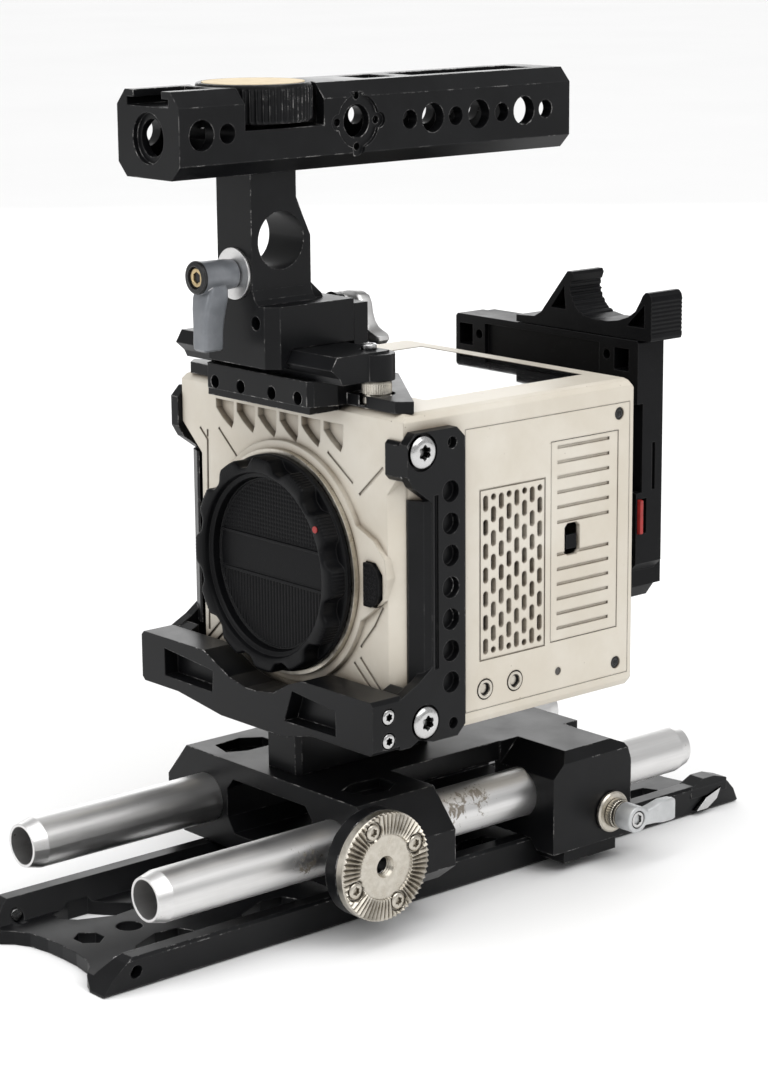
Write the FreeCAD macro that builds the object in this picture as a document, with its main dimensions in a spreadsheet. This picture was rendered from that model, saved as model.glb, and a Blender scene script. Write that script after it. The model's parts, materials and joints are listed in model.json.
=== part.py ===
import FreeCAD, Part
import os
import re

import Sketcher
from FreeCAD import Placement, Rotation, Vector

# Cinema camera rig. Millimetres, +Z up, the lens looks along -Y and the vented side of the camera faces +X.
# The origin is on the ground, under the middle plane of the rig, level with the centre of its rods.

doc = FreeCAD.newDocument("camera_rig")
sheet = doc.addObject("Spreadsheet::Sheet", "dims")

DIMENSIONS = {
    # dovetail plate
    "plate_half": 33.5,
    "plate_front": -130.0,
    "plate_rear": 124.0,
    "rail_top": 10.0,
    "rail_inner": 24.0,
    "web_low": 0.0,
    "web_top": 4.0,
    # rods
    "rod_z": 24.0,
    "rod_half_gap": 30.0,
    "rod_radius": 7.5,
    "rod_bore": 5.6,
    "rod_front": -113.7,
    "rod_rear": 96.0,
    "rod_fit": 0.06,
    # bridge plate
    "slab_low": 32.0,
    "slab_top": 38.0,
    "slab_half": 21.0,
    "grip_front": -46.5,
    "grip_rear": -17.0,
    "block_front": 27.0,
    "block_rear": 60.0,
    "block_half": 45.0,
    "bridge_low": 10.3,
    "pad_half": 51.0,
    # rosette
    "rosette_y": -47.7,
    "rosette_radius": 15.9,
    "rosette_face": 55.0,
    # riser
    "riser_half": 7.0,
    "riser_front": -40.7,
    "riser_rear": 14.0,
    # cage
    "cage_half": 54.0,
    "cage_inner": 50.7,
    "cage_low": 57.0,
    "cage_top": 146.4,
    "post_rear": -17.2,
    "post_front": -29.4,
    "boss_front": -38.6,
    "bar_front": -52.0,
    "bar_rear": -41.0,
    "bar_top": 72.5,
    "bar_mid": 65.2,
    "floor_low": 54.1,
    "floor_top": 56.9,
    "hole_pitch": 9.2,
    "hole_first": 73.2,
    "hole_y": -22.6,
    # camera body
    "body_half": 50.5,
    "body_low": 57.0,
    "body_top": 151.0,
    "body_front": -37.0,
    "body_rear": 56.4,
    "bevel_y": -30.0,
    "bevel_x": 43.5,
    "bevel_left": 41.2,
    "lens_z": 101.5,
    "wall": 3.0,
    "panel_depth": 1.9,
    "panel_front": -14.0,
    "panel_rear": 52.0,
    "panel_low": 61.4,
    "panel_top": 144.2,
    # top plate and rail
    "top_half": 23.2,
    "top_front": -48.4,
    "top_low": 149.0,
    "top_high": 158.4,
    "rail_half": 35.5,
    "nato_low": 158.5,
    "nato_top": 166.6,
    "nato_ridge": 163.1,
    "nato_y": -38.0,
    # handle
    "clamp_half": 16.0,
    "clamp_front": -55.2,
    "clamp_rear": -25.2,
    "clamp_low": 161.4,
    "clamp_top": 178.9,
    "post_half": 7.75,
    "bar_half": 14.0,
    "handle_low": 215.7,
    "handle_top": 239.5,
    "handle_front": -84.0,
    "handle_rear": 62.0,
    "wheel_y": -47.5,
    "wheel_radius": 17.0,
    "bolt_x": 33.0,
    "bolt_y": -31.5,
    "screw_x": 29.8,
    "wing_top": 154.4,
    "fan_y": 4.0,
    "fan_z": 102.0,
    "lock_z": 187.2,
    # battery plate
    "bat_half": 40.5,
    "bat_front": 65.5,
    "bat_rear": 79.5,
    "bat_low": 78.5,
    "bat_top": 159.3,
}

for row, (alias, value) in enumerate(DIMENSIONS.items(), start=1):
    sheet.set(f"A{row}", alias)
    sheet.set(f"B{row}", str(value))
    sheet.setAlias(f"B{row}", alias)
doc.recompute()

WORDS = re.compile(r"[a-z]+(?:_[a-z]+)+|wall")
PARTS = []


def bound(expression):
    """The expression with every dimension's name pointing at the spreadsheet."""
    return WORDS.sub(lambda word: "dims." + word.group(0), str(expression))


def number(expression):
    value = sheet.evalExpression(bound(expression))
    return float(getattr(value, "Value", value))


def bind(item, prop, expression):
    item.setExpression(prop, bound(expression))


def keep(item, label):
    item.Label = label
    PARTS.append(item)
    return item


# ---------------------------------------------------------------- sketches and PartDesign features

FLIPPED = {"XY_Plane": False, "XZ_Plane": True, "YZ_Plane": False}


def sketch_at(body, name, role, level):
    """An empty sketch parallel to an origin plane, at a height along that plane's axis."""
    sketch = body.newObject("Sketcher::SketchObject", name)
    plane = [item for item in body.Origin.OriginFeatures if item.Role == role][0]
    sketch.AttachmentSupport = [(plane, "")]
    sketch.MapMode = "FlatFace"
    bind(sketch, "AttachmentOffset.Base.z", f"-({level})" if FLIPPED[role] else f"{level}")
    return sketch


def pin_point(sketch, index, position, x, y):
    at_x = sketch.addConstraint(Sketcher.Constraint("DistanceX", -1, 1, index, position, number(x)))
    bind(sketch, f"Constraints[{at_x}]", x)
    at_y = sketch.addConstraint(Sketcher.Constraint("DistanceY", -1, 1, index, position, number(y)))
    bind(sketch, f"Constraints[{at_y}]", y)


def add_outline(sketch, points):
    """A closed run of straight edges whose corners are held by the dimensions."""
    corners = [Vector(number(x), number(y), 0) for x, y in points]
    first = sketch.GeometryCount
    total = len(corners)
    for index in range(total):
        sketch.addGeometry(Part.LineSegment(corners[index], corners[(index + 1) % total]), False)
    for index in range(total):
        following = first + (index + 1) % total
        sketch.addConstraint(Sketcher.Constraint("Coincident", first + index, 2, following, 1))
        pin_point(sketch, first + index, 1, *points[index])


def add_circle(sketch, x, y, radius):
    centre = Vector(number(x), number(y), 0)
    index = sketch.addGeometry(Part.Circle(centre, Vector(0, 0, 1), number(radius)), False)
    pin_point(sketch, index, 3, x, y)
    size = sketch.addConstraint(Sketcher.Constraint("Radius", index, number(radius)))
    bind(sketch, f"Constraints[{size}]", radius)


def draw(sketch, shapes):
    for shape in shapes:
        if isinstance(shape, tuple):
            add_circle(sketch, *shape)
        else:
            add_outline(sketch, shape)


def pad(body, name, role, shapes, low, high):
    """Material between two heights along the plane's axis."""
    start = high if FLIPPED[role] else low
    sketch = sketch_at(body, name + "_sketch", role, start)
    draw(sketch, shapes)
    feature = body.newObject("PartDesign::Pad", name)
    feature.Profile = sketch
    bind(feature, "Length", f"({high}) - ({low})")
    sketch.Visibility = False
    return feature


def pocket(body, name, role, shapes, low, high):
    """A cut between two heights along the plane's axis; it has to remove material."""
    doc.recompute()
    before = body.Shape.Volume
    start = low if FLIPPED[role] else high
    sketch = sketch_at(body, name + "_sketch", role, start)
    draw(sketch, shapes)
    feature = body.newObject("PartDesign::Pocket", name)
    feature.Profile = sketch
    bind(feature, "Length", f"({high}) - ({low})")
    doc.recompute()
    if body.Shape.Volume > before - 0.01:
        raise RuntimeError(f"the pocket {name} cut nothing")
    return feature


def body_named(label):
    return keep(doc.addObject("PartDesign::Body", label), label)


def rectangle(x_low, x_high, y_low, y_high):
    return [(x_low, y_low), (x_high, y_low), (x_high, y_high), (x_low, y_high)]


def mirrored(points):
    """An outline given by its right half from bottom to top, closed on the left."""
    left = [(f"-({x})", y) for x, y in reversed(points)]
    return points + left


# ---------------------------------------------------------------- Part primitives

AXES = {
    "x": Rotation(Vector(0, 0, 1), Vector(1, 0, 0)),
    "y": Rotation(Vector(0, 0, 1), Vector(0, 1, 0)),
    "z": Rotation(),
}


def put(item, x, y, z, turn=None):
    item.Placement = Placement(Vector(number(x), number(y), number(z)), turn or Rotation())
    for axis, value in (("x", x), ("y", y), ("z", z)):
        bind(item, f"Placement.Base.{axis}", value)
    return item


def cylinder(name, axis, x, y, z, radius, length):
    """A cylinder that starts at the point given and runs along +axis."""
    item = doc.addObject("Part::Cylinder", name)
    bind(item, "Radius", radius)
    bind(item, "Height", length)
    return put(item, x, y, z, AXES[axis])


def cone(name, axis, x, y, z, radius_start, radius_end, length):
    item = doc.addObject("Part::Cone", name)
    bind(item, "Radius1", radius_start)
    bind(item, "Radius2", radius_end)
    bind(item, "Height", length)
    return put(item, x, y, z, AXES[axis])


def box(name, x_low, x_high, y_low, y_high, z_low, z_high):
    item = doc.addObject("Part::Box", name)
    bind(item, "Length", f"({x_high}) - ({x_low})")
    bind(item, "Width", f"({y_high}) - ({y_low})")
    bind(item, "Height", f"({z_high}) - ({z_low})")
    return put(item, x_low, y_low, z_low)


def fused(name, items):
    item = doc.addObject("Part::MultiFuse", name)
    item.Shapes = items
    return item


def cut(name, base, tools):
    tool = tools[0] if len(tools) == 1 else fused(name + "_tools", tools)
    item = doc.addObject("Part::Cut", name)
    item.Base = base
    item.Tool = tool
    return item


def gathered(label, items):
    """Separate identical solids kept together as one named group."""
    item = doc.addObject("Part::Compound", label)
    item.Links = items
    return keep(item, label)


def shaped(label, shape):
    item = doc.addObject("Part::Feature", label)
    item.Shape = shape
    return keep(item, label)


def prism_shape(points, plane, low, high):
    """A straight-sided solid from numeric points in a plane, between two heights."""
    place = {
        "xy": lambda a, b: Vector(a, b, low),
        "xz": lambda a, b: Vector(a, low, b),
        "yz": lambda a, b: Vector(low, a, b),
    }[plane]
    along = {"xy": Vector(0, 0, 1), "xz": Vector(0, 1, 0), "yz": Vector(1, 0, 0)}[plane]
    corners = [place(a, b) for a, b in points]
    face = Part.Face(Part.makePolygon(corners + corners[:1]))
    return face.extrude(along * (high - low))


# ---------------------------------------------------------------- dovetail plate

plate = body_named("dovetail_plate")
half_section = [
    ("plate_half - 2.2", "web_low"),
    ("plate_half - 1.6", "0.6"),
    ("plate_half", "rail_top - 0.9"),
    ("plate_half - 0.7", "rail_top"),
    ("plate_half - 5.2", "rail_top"),
    ("rail_inner", "web_top"),
]
pad(plate, "plate_section", "XZ_Plane", [mirrored(half_section)], "plate_front", "plate_rear")
NOSE = [("-1", "-1"), ("0.4", "-1"), ("0.5", "0.6"), ("3.4", "5.2"), ("7.2", "8.8"),
    ("9.4", "rail_top + 0.01"), ("9.4", "12"), ("-1", "12")]
BAY = [(26, -1), (25, 0.6), (21.5, 2.2), (18.5, 5.2), (14, 7.6), (7, 8.8), (0, 9)]
for end, sign in (("front", 1), ("rear", -1)):
    outline = [(f"plate_{end} + ({sign}) * ({y})", z) for y, z in NOSE]
    pocket(plate, f"nose_{end}", "YZ_Plane", [outline], "-40", "40")
    bay = [(f"{x}", f"plate_{end} + ({sign}) * ({y})") for x, y in BAY]
    bay += [(f"{-x}", y) for (x, _), (_, y) in zip(BAY[-2::-1], bay[-2::-1])]
    pocket(plate, f"bay_{end}", "XY_Plane", [bay], "-1", "12")
for side, sign in (("right", 1), ("left", -1)):
    low, high = ("plate_half - 6", "plate_half - 0.1") if sign > 0 else ("-(plate_half - 0.1)",
        "-(plate_half - 6)")
    heel = [("100", "rail_top - 0.5"), ("105.5", "rail_top + 1.8"), ("111", "rail_top + 1.7"),
        ("116.5", "rail_top"), ("116.5", "6"), ("100", "6")]
    pad(plate, f"heel_{side}", "YZ_Plane", [heel], low, high)


def leaf(sign, y_centre):
    """One long opening beside the rail, pointed at its front and cut into the rail's inner slope."""
    ring = [(14, -8), (18, -11.5), (22, -11), (25, -4), (25, 3), (21, 6), (15, 11.5), (10.5, 9.5),
        (9.6, 2)]
    return [(f"({sign}) * ({x})", f"({y_centre}) + ({y})") for x, y in ring]


LEAF_PLACES = (-98, -60, -22, 20, 57, 92)
for number_of, y_centre in enumerate(LEAF_PLACES):
    pocket(
        plate,
        f"leaves_{number_of}",
        "XY_Plane",
        [leaf(1, y_centre), leaf(-1, y_centre), ("0", f"{y_centre}", "3.9")],
        "-1",
        "8",
    )
for number_of, y_centre in enumerate((-79, -41, 39, 75)):
    pocket(plate, f"relief_{number_of}", "XY_Plane", [("0", f"{y_centre}", "5.5")], "-1", "5")
pocket(plate, "tripod_hole", "XY_Plane", [("0", "0", "4")], "-1", "5")
eye = [("-5.2", "-112"), ("-2.2", "-115.8"), ("2.2", "-115.8"), ("5.2", "-112"), ("2.2", "-108.2"),
    ("-2.2", "-108.2")]
pocket(plate, "eye", "XY_Plane", [eye], "-1", "5")
STOP_PLACES = (("plate_front + 10.7", 1), ("plate_front + 10.7", -1), ("plate_rear - 10.7", -1))
for number_of, (y_place, sign) in enumerate(STOP_PLACES):
    low, high = ("22", "34") if sign > 0 else ("-34", "-22")
    pocket(plate, f"stop_hole_{number_of}", "YZ_Plane", [(y_place, "5.4", "2")], low, high)
lock_place = [("101.6", "1.4"), ("106.4", "5.6"), ("114", "7.8"), ("112.2", "4"), ("107.4", "1.4")]
pocket(plate, "lock_hole", "YZ_Plane", [lock_place], "plate_half - 6", "plate_half + 1")

stops = []
for number_of, (y_place, sign) in enumerate(STOP_PLACES):
    start = "23.5" if sign > 0 else "-31.7"
    pin = cylinder(f"stop_pin_{number_of}", "x", start, y_place, "5.4", "1.9", "6.2")
    hex_start = "28.1" if sign > 0 else "-31.9"
    socket = cylinder(f"stop_socket_{number_of}", "x", hex_start, y_place, "5.4", "1", "1.8")
    stops.append(cut(f"stop_{number_of}", pin, [socket]))
gathered("plate_stop_screws", stops)

lock_button = body_named("plate_lock_button")
lozenge = [("102.2", "1.6"), ("106.6", "5.3"), ("113.2", "7.3"), ("111.6", "4.1"), ("107.2", "1.6")]
pad(lock_button, "lock_stem", "YZ_Plane", [lozenge], "plate_half - 4", "plate_half + 0.4")

# ---------------------------------------------------------------- bridge plate with its rod grips

bridge = body_named("bridge_plate")
slab = [
    ("slab_half", "grip_rear - 1"),
    ("slab_half", "block_front + 1"),
    ("-slab_half", "block_front + 1"),
    ("-slab_half", "grip_rear - 1"),
]
pad(bridge, "slab", "XY_Plane", [slab], "slab_low", "slab_top")
grip = [
    ("24", "bridge_low"),
    ("42", "bridge_low"),
    ("pad_half - 1.5", "16"),
    ("pad_half - 1.5", "27"),
    ("40", "slab_top"),
]
pad(bridge, "front_grip", "XZ_Plane", [mirrored(grip)], "grip_front", "grip_rear")
rear_block = [
    ("20", "bridge_low"),
    ("plate_half + 1.5", "bridge_low"),
    ("plate_half + 4", "7.2"),
    ("block_half", "7.2"),
    ("block_half", "slab_top - 3"),
    ("block_half - 3", "slab_top"),
]
pad(bridge, "rear_block", "XZ_Plane", [mirrored(rear_block)], "block_front", "block_rear")
pad(bridge, "rosette_pad", "YZ_Plane", [("rosette_y", "rod_z", "rosette_radius")], "pad_half - 4.5",
    "pad_half")
fixed_jaw = [
    ("-32.6", "2.9"),
    ("-33.5", "7.4"),
    ("-33.9", "8.2"),
    ("-33.9", "bridge_low + 0.5"),
    ("-40", "bridge_low + 0.5"),
    ("-40", "2.9"),
]
pad(bridge, "fixed_jaw", "XZ_Plane", [fixed_jaw], "block_front + 4", "block_rear - 4")
window = [("-17", "15.5"), ("17", "15.5"), ("20", "20"), ("20", "29"), ("17", "32.5"),
    ("-17", "32.5"), ("-20", "29"), ("-20", "20")]
pocket(bridge, "front_window", "XZ_Plane", [window], "grip_front - 1", "grip_rear + 1")
rear_window = rectangle("-19", "19", "14", "31.5")
pocket(bridge, "rear_window", "XZ_Plane", [rear_window], "block_front - 1", "block_rear + 1")
rods_across = [("rod_half_gap", "rod_z", "rod_radius + rod_fit"),
    ("-rod_half_gap", "rod_z", "rod_radius + rod_fit")]
pocket(bridge, "rod_bores", "XZ_Plane", rods_across, "grip_front - 1", "block_rear + 1")
for side, sign in (("right", 1), ("left", -1)):
    slope = [
        (f"block_front - 1", "slab_top + 1"),
        (f"block_front - 1", "31"),
        (f"block_front", "31"),
        (f"block_front + 7.5", "slab_top"),
        (f"block_front + 7.5", "slab_top + 1"),
    ]
    low = "slab_half + 0.5" if sign > 0 else "-(block_half + 1)"
    high = "block_half + 1" if sign > 0 else "-(slab_half + 0.5)"
    pocket(bridge, f"slope_{side}", "YZ_Plane", [slope], low, high)
    back = [
        ("block_rear + 1", "slab_top + 1"),
        ("block_rear - 6", "slab_top + 1"),
        ("block_rear - 6", "slab_top"),
        ("block_rear - 1.8", "slab_top - 1.8"),
        ("block_rear", "slab_top - 7"),
        ("block_rear + 1", "slab_top - 7"),
    ]
    pocket(bridge, f"back_{side}", "YZ_Plane", [back], low, high)
slots = [
    [("-34", "-40"), ("-26", "-42"), ("-23", "-36"), ("-23", "-24"), ("-31", "-24"), ("-35", "-30")],
    [("23", "-34"), ("26", "-40"), ("34", "-38"), ("35", "-30"), ("31", "-24"), ("24", "-24")],
]
pocket(bridge, "top_slots", "XY_Plane", slots, "slab_top - 3", "slab_top + 1")
pocket(bridge, "stud_hole", "YZ_Plane", [("51.2", "16.1", "3.1")], "38.6", "block_half + 1")
pocket(bridge, "rosette_bolt_hole", "YZ_Plane", [("rosette_y", "rod_z", "2.6")], "38", "pad_half + 1")

jaw = body_named("dovetail_jaw")
moving_jaw = [("32.7", "2.9"), ("43.5", "2.9"), ("43.5", "7.1"), ("33.7", "7.1")]
pad(jaw, "jaw_tongue", "XZ_Plane", [moving_jaw], "block_front + 6", "block_rear - 5")

# Clamp lever of the rear block: stud, hub stack and paddle, all turning about X.
stud = cylinder("stud", "x", "39", "51.2", "16.1", "3", "7")
washer = cylinder("hub_washer", "x", "block_half + 0.15", "51.2", "16.1", "6.4", "1.9")
collar = cylinder("hub_collar", "x", "block_half + 2", "51.2", "16.1", "4.6", "3.6")
keep(fused("clamp_stud", [stud, washer, collar]), "clamp_stud")
clamp_lever = body_named("clamp_lever")
paddle = [
    ("50", "19.8"),
    ("57", "17.6"),
    ("61", "18.6"),
    ("67", "19"),
    ("69.6", "17.4"),
    ("69.6", "12.6"),
    ("66", "11.8"),
    ("61", "12.4"),
    ("57", "12.8"),
    ("52.4", "12.4"),
]
pad(clamp_lever, "paddle", "YZ_Plane", [paddle], "51.8", "56.2")
pad(clamp_lever, "lever_hub", "YZ_Plane", [("51.2", "16.1", "4.2")], "50.7", "57")
pocket(clamp_lever, "lever_socket", "YZ_Plane", [("51.2", "16.1", "2.2")], "54.6", "57.5")

# ---------------------------------------------------------------- rods


def rod(label, x):
    """A tube whose two ends taper before the square end face."""
    start = cone(f"{label}_nose", "y", x, "rod_front", "rod_z", "rod_radius - 1.1", "rod_radius", "4.5")
    middle = cylinder(
        f"{label}_tube", "y", x, "rod_front + 4.5", "rod_z", "rod_radius", "rod_rear - rod_front - 9"
    )
    end = cone(f"{label}_tail", "y", x, "rod_rear - 4.5", "rod_z", "rod_radius", "rod_radius - 1.1",
        "4.5")
    hollow = cylinder(f"{label}_bore", "y", x, "rod_front - 1", "rod_z", "rod_bore",
        "rod_rear - rod_front + 2")
    keep(cut(label, fused(f"{label}_outside", [start, middle, end]), [hollow]), label)


rod("rod_right", "rod_half_gap")
rod("rod_left", "-rod_half_gap")

# ---------------------------------------------------------------- rosette

TEETH = 60
SCREW_ANGLES = (22, 112, 202, 292)


def around(angle, radius):
    """A point of the rosette's face, as dimensions, at an angle from +Y towards +Z."""
    turned = Rotation(Vector(0, 0, 1), angle).multVec(Vector(radius, 0, 0))
    return f"rosette_y + ({turned.x:.3f})", f"rod_z + ({turned.y:.3f})"


def rosette_shape():
    """A disc with sixty radial V grooves round a dished centre, bored for its bolt and screws."""
    radius = number("rosette_radius")
    height = number("rosette_face - pad_half - 0.1")
    disc = Part.makeCylinder(radius, height)
    disc = disc.cut(Part.makeCylinder(9.5, 1, Vector(0, 0, height - 0.9)))
    profile = [Vector(9, -0.42, height + 0.1), Vector(9, 0.42, height + 0.1), Vector(9, 0, height - 0.75)]
    wedge = Part.Face(Part.makePolygon(profile + profile[:1])).extrude(Vector(radius, 0, 0))
    grooves = []
    for tooth in range(TEETH):
        groove = wedge.copy()
        groove.rotate(Vector(0, 0, 0), Vector(0, 0, 1), 360 * (tooth + 0.5) / TEETH)
        grooves.append(groove)
    disc = disc.cut(grooves)
    disc = disc.cut(Part.makeCylinder(2.6, height + 2, Vector(0, 0, -1)))
    for angle in SCREW_ANGLES:
        spot = Rotation(Vector(0, 0, 1), angle).multVec(Vector(12, 0, 0))
        disc = disc.cut(Part.makeCylinder(2.9, 3, spot + Vector(0, 0, height - 1.6)))
    centre = Vector(number("pad_half + 0.1"), number("rosette_y"), number("rod_z"))
    facing = Rotation(Vector(0, 1, 0), Vector(0, 0, 1), Vector(1, 0, 0), "ZXY")
    disc.Placement = Placement(centre, facing)
    return disc


shaped("rosette", rosette_shape())
rosette_screws = []
for order, angle in enumerate(SCREW_ANGLES):
    screw_y, screw_z = around(angle, 12)
    head = cylinder(f"rosette_head_{order}", "x", "rosette_face - 1.55", screw_y, screw_z, "2.7", "1")
    drive = cylinder(f"rosette_drive_{order}", "x", "rosette_face - 1.1", screw_y, screw_z, "1.1", "1")
    rosette_screws.append(cut(f"rosette_screw_{order}", head, [drive]))
gathered("rosette_screws", rosette_screws)

# ---------------------------------------------------------------- riser and cage

riser = body_named("riser_block")
riser_outline = [
    ("-riser_half", "riser_front"),
    ("riser_half - 1.5", "riser_front"),
    ("riser_half", "riser_front + 1.5"),
    ("riser_half", "riser_rear - 4"),
    ("riser_half - 4", "riser_rear"),
    ("-riser_half + 4", "riser_rear"),
    ("-riser_half", "riser_rear - 4"),
]
pad(riser, "riser", "XY_Plane", [riser_outline], "slab_top + 0.05", "floor_low - 0.05")

cage = body_named("cage_frame")
front_bar = [
    ("-cage_half + 1.2", "cage_low"),
    ("-36", "cage_low"),
    ("-15", "floor_low"),
    ("15", "floor_low"),
    ("26.5", "cage_low"),
    ("cage_half - 1.2", "cage_low"),
    ("cage_half", "cage_low + 1.2"),
    ("cage_half", "bar_top - 1.2"),
    ("cage_half - 1.2", "bar_top"),
    ("23", "bar_top"),
    ("17", "bar_top - 2.2"),
    ("10", "bar_mid + 1.2"),
    ("2", "bar_mid"),
    ("-3", "bar_mid"),
    ("-11", "bar_mid + 1.6"),
    ("-18", "bar_top - 2.4"),
    ("-23", "bar_top"),
    ("-cage_half + 1.2", "bar_top"),
    ("-cage_half", "bar_top - 1.2"),
    ("-cage_half", "cage_low + 1.2"),
]
pad(cage, "front_bar", "XZ_Plane", [front_bar], "bar_front", "bar_rear")
floor_plate = [
    ("-26", "bar_rear - 1"),
    ("26", "bar_rear - 1"),
    ("26", "20"),
    ("18", "34"),
    ("-18", "34"),
    ("-26", "20"),
]
pad(cage, "floor_plate", "XY_Plane", [floor_plate], "floor_low", "floor_top")
for side, sign in (("right", 1), ("left", -1)):
    low, high = ("cage_inner", "cage_half") if sign > 0 else ("-cage_half", "-cage_inner")
    side_plate = [
        ("bar_rear - 1", "cage_low"),
        ("-38", "cage_low"),
        ("-35", "cage_low + 1.5"),
        ("post_front", "cage_low"),
        ("post_rear - 3", "cage_low"),
        ("post_rear", "cage_low + 3"),
        ("post_rear", "cage_top - 3"),
        ("post_rear - 3", "cage_top"),
        ("boss_front + 3", "cage_top"),
        ("boss_front", "cage_top - 3"),
        ("boss_front", "134.5"),
        ("-36.5", "131"),
        ("post_front", "126"),
        ("post_front", "79"),
        ("-35", "75"),
        ("bar_rear - 1", "bar_top - 1"),
    ]
    pad(cage, f"side_plate_{side}", "YZ_Plane", [side_plate], low, high)
    wrap = [
        (f"({sign}) * cage_inner", "bevel_y - 0.4"),
        (f"({sign}) * (cage_half - 0.3)", "post_front + 0.3"),
        (f"({sign}) * (cage_half - 1.3)", "post_front - 2.2"),
        (f"({sign}) * (cage_half - 5.6)", "post_front - 4.2"),
        (f"({sign}) * (cage_half - 6.6)", "post_front - 4"),
    ]
    pad(cage, f"wrap_{side}", "XY_Plane", [wrap], "73", "126.5")
    inner, outer = ("44.6", "cage_inner + 0.5") if sign > 0 else ("-(cage_inner + 0.5)", "-44.6")
    top_boss = [
        ("boss_front", "134"),
        ("boss_front", "cage_top - 3.5"),
        ("boss_front + 0.9", "cage_top - 2.6"),
        ("boss_front + 1.4", "cage_top - 2.6"),
        ("boss_front + 1.4", "132.5"),
    ]
    if side == "right":
        pad(cage, "top_boss", "YZ_Plane", [top_boss], inner, outer)
    low_boss = [("bar_rear - 1", "cage_low"), ("-37.25", "cage_low"), ("-37.25", "73.5"),
        ("bar_rear - 1", "bar_top - 1")]
    pad(cage, f"low_boss_{side}", "YZ_Plane", [low_boss], inner, outer)
    through_low = "cage_inner + 0.8" if sign > 0 else "-(cage_half + 1)"
    through_high = "cage_half + 1" if sign > 0 else "-(cage_inner + 0.8)"
    accessory = [("hole_y", f"hole_first + {order} * hole_pitch", "3.1") for order in range(7)]
    small = [("hole_y + 0.6", "142.2", "1.7"), ("hole_y + 0.8", "61", "1.7")]
    pocket(cage, f"side_holes_{side}", "YZ_Plane", accessory + small, through_low, through_high)
    seat_low, seat_high = ("cage_half - 1.2", "cage_half + 1") if sign > 0 else ("-(cage_half + 1)",
        "-(cage_half - 1.2)")
    seats = [("-33", "140.8", "5.4"), ("-32.3", "63.2", "5.2")]
    pocket(cage, f"screw_seats_{side}", "YZ_Plane", seats, seat_low, seat_high)
    end_low, end_high = ("cage_half - 1", "cage_half + 1") if sign > 0 else ("-(cage_half + 1)",
        "-(cage_half - 1)")
    ends = [("-46.2", "67.5", "2.5"), ("-46.2", "60.5", "2.5")]
    pocket(cage, f"end_screw_seats_{side}", "YZ_Plane", ends, end_low, end_high)
    line_low, line_high = ("cage_half - 0.8", "cage_half + 1") if sign > 0 else ("-(cage_half + 1)",
        "-(cage_half - 0.8)")
    line = rectangle("post_front + 0.6", "post_front + 2.2", "78", "128")
    pocket(cage, f"post_groove_{side}", "YZ_Plane", [line], line_low, line_high)
windows = [
    [("-42.5", "60.7"), ("-19", "60.4"), ("-18.5", "67"), ("-42.5", "69.2")],
    [("14.8", "59"), ("38", "59.4"), ("37.8", "66.7"), ("18.6", "68.7")],
]
pocket(cage, "bar_recesses", "XZ_Plane", windows, "bar_front - 1", "bar_front + 5")

large_screws = []
small_screws = []
for sign in (1, -1):
    for order, (screw_y, screw_z) in enumerate((("-33", "140.8"), ("-32.3", "63.2"))):
        start = "cage_half - 1.1" if sign > 0 else "-(cage_half + 1.2)"
        head = cylinder(f"large_head_{order}_{sign + 1}", "x", start, screw_y, screw_z, "4.6", "2.3")
        drive_start = "cage_half + 0.2" if sign > 0 else "-(cage_half + 1.3)"
        drive = cylinder(f"large_drive_{order}_{sign + 1}", "x", drive_start, screw_y, screw_z,
            "1.9", "1.1")
        large_screws.append(cut(f"large_screw_{order}_{sign + 1}", head, [drive]))
    for order, screw_z in enumerate(("67.5", "60.5")):
        start = "cage_half - 0.9" if sign > 0 else "-(cage_half + 0.4)"
        head = cylinder(f"small_head_{order}_{sign + 1}", "x", start, "-46.2", screw_z, "2.2", "1.3")
        drive_start = "cage_half - 0.4" if sign > 0 else "-(cage_half + 0.5)"
        drive = cylinder(f"small_drive_{order}_{sign + 1}", "x", drive_start, "-46.2", screw_z, "1",
            "0.9")
        small_screws.append(cut(f"small_screw_{order}_{sign + 1}", head, [drive]))
gathered("cage_large_screws", large_screws)
gathered("cage_small_screws", small_screws)

# ---------------------------------------------------------------- camera body

shell = body_named("body_shell")
plan = [
    ("bevel_x", "body_front"),
    ("body_half", "bevel_y"),
    ("body_half", "body_rear - 3"),
    ("body_half - 3", "body_rear"),
    ("-body_half + 3", "body_rear"),
    ("-body_half", "body_rear - 3"),
    ("-body_half", "bevel_y"),
    ("-bevel_left", "body_front"),
]
pad(shell, "outer", "XY_Plane", [plan], "body_low", "body_top")
for name, start, side in (
    ("right", "bevel_x - 0.5", "body_half"),
    ("left", "-(bevel_left - 0.5)", "-body_half"),
):
    # the brow keeps its full width above, and flares out over the bevelled corner
    flare = [(start, "127"), (side, "136"), (side, "body_top"), (start, "body_top")]
    pad(shell, f"brow_{name}", "XZ_Plane", [flare], "body_front", "bevel_y + 0.5")
pad(shell, "mount_collar", "XZ_Plane", [("0", "lens_z", "35.6")], "body_front - 1.8", "body_front + 0.5")
EDGE = 2.2
for name, sign in (("right", 1), ("left", -1)):
    for level, turn in (("top", -1), ("low", 1)):
        corner = [
            (f"({sign}) * (body_half + 1)", f"body_{level} - ({turn}) * 1"),
            (f"({sign}) * (body_half - {EDGE})", f"body_{level} - ({turn}) * 1"),
            (f"({sign}) * (body_half - {EDGE})", f"body_{level}"),
            (f"({sign}) * (body_half - 0.7)", f"body_{level} + ({turn}) * 0.6"),
            (f"({sign}) * body_half", f"body_{level} + ({turn}) * {EDGE}"),
            (f"({sign}) * (body_half + 1)", f"body_{level} + ({turn}) * {EDGE}"),
        ]
        pocket(shell, f"edge_{name}_{level}", "XZ_Plane", [corner], "body_front - 1", "body_rear + 1")
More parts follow.
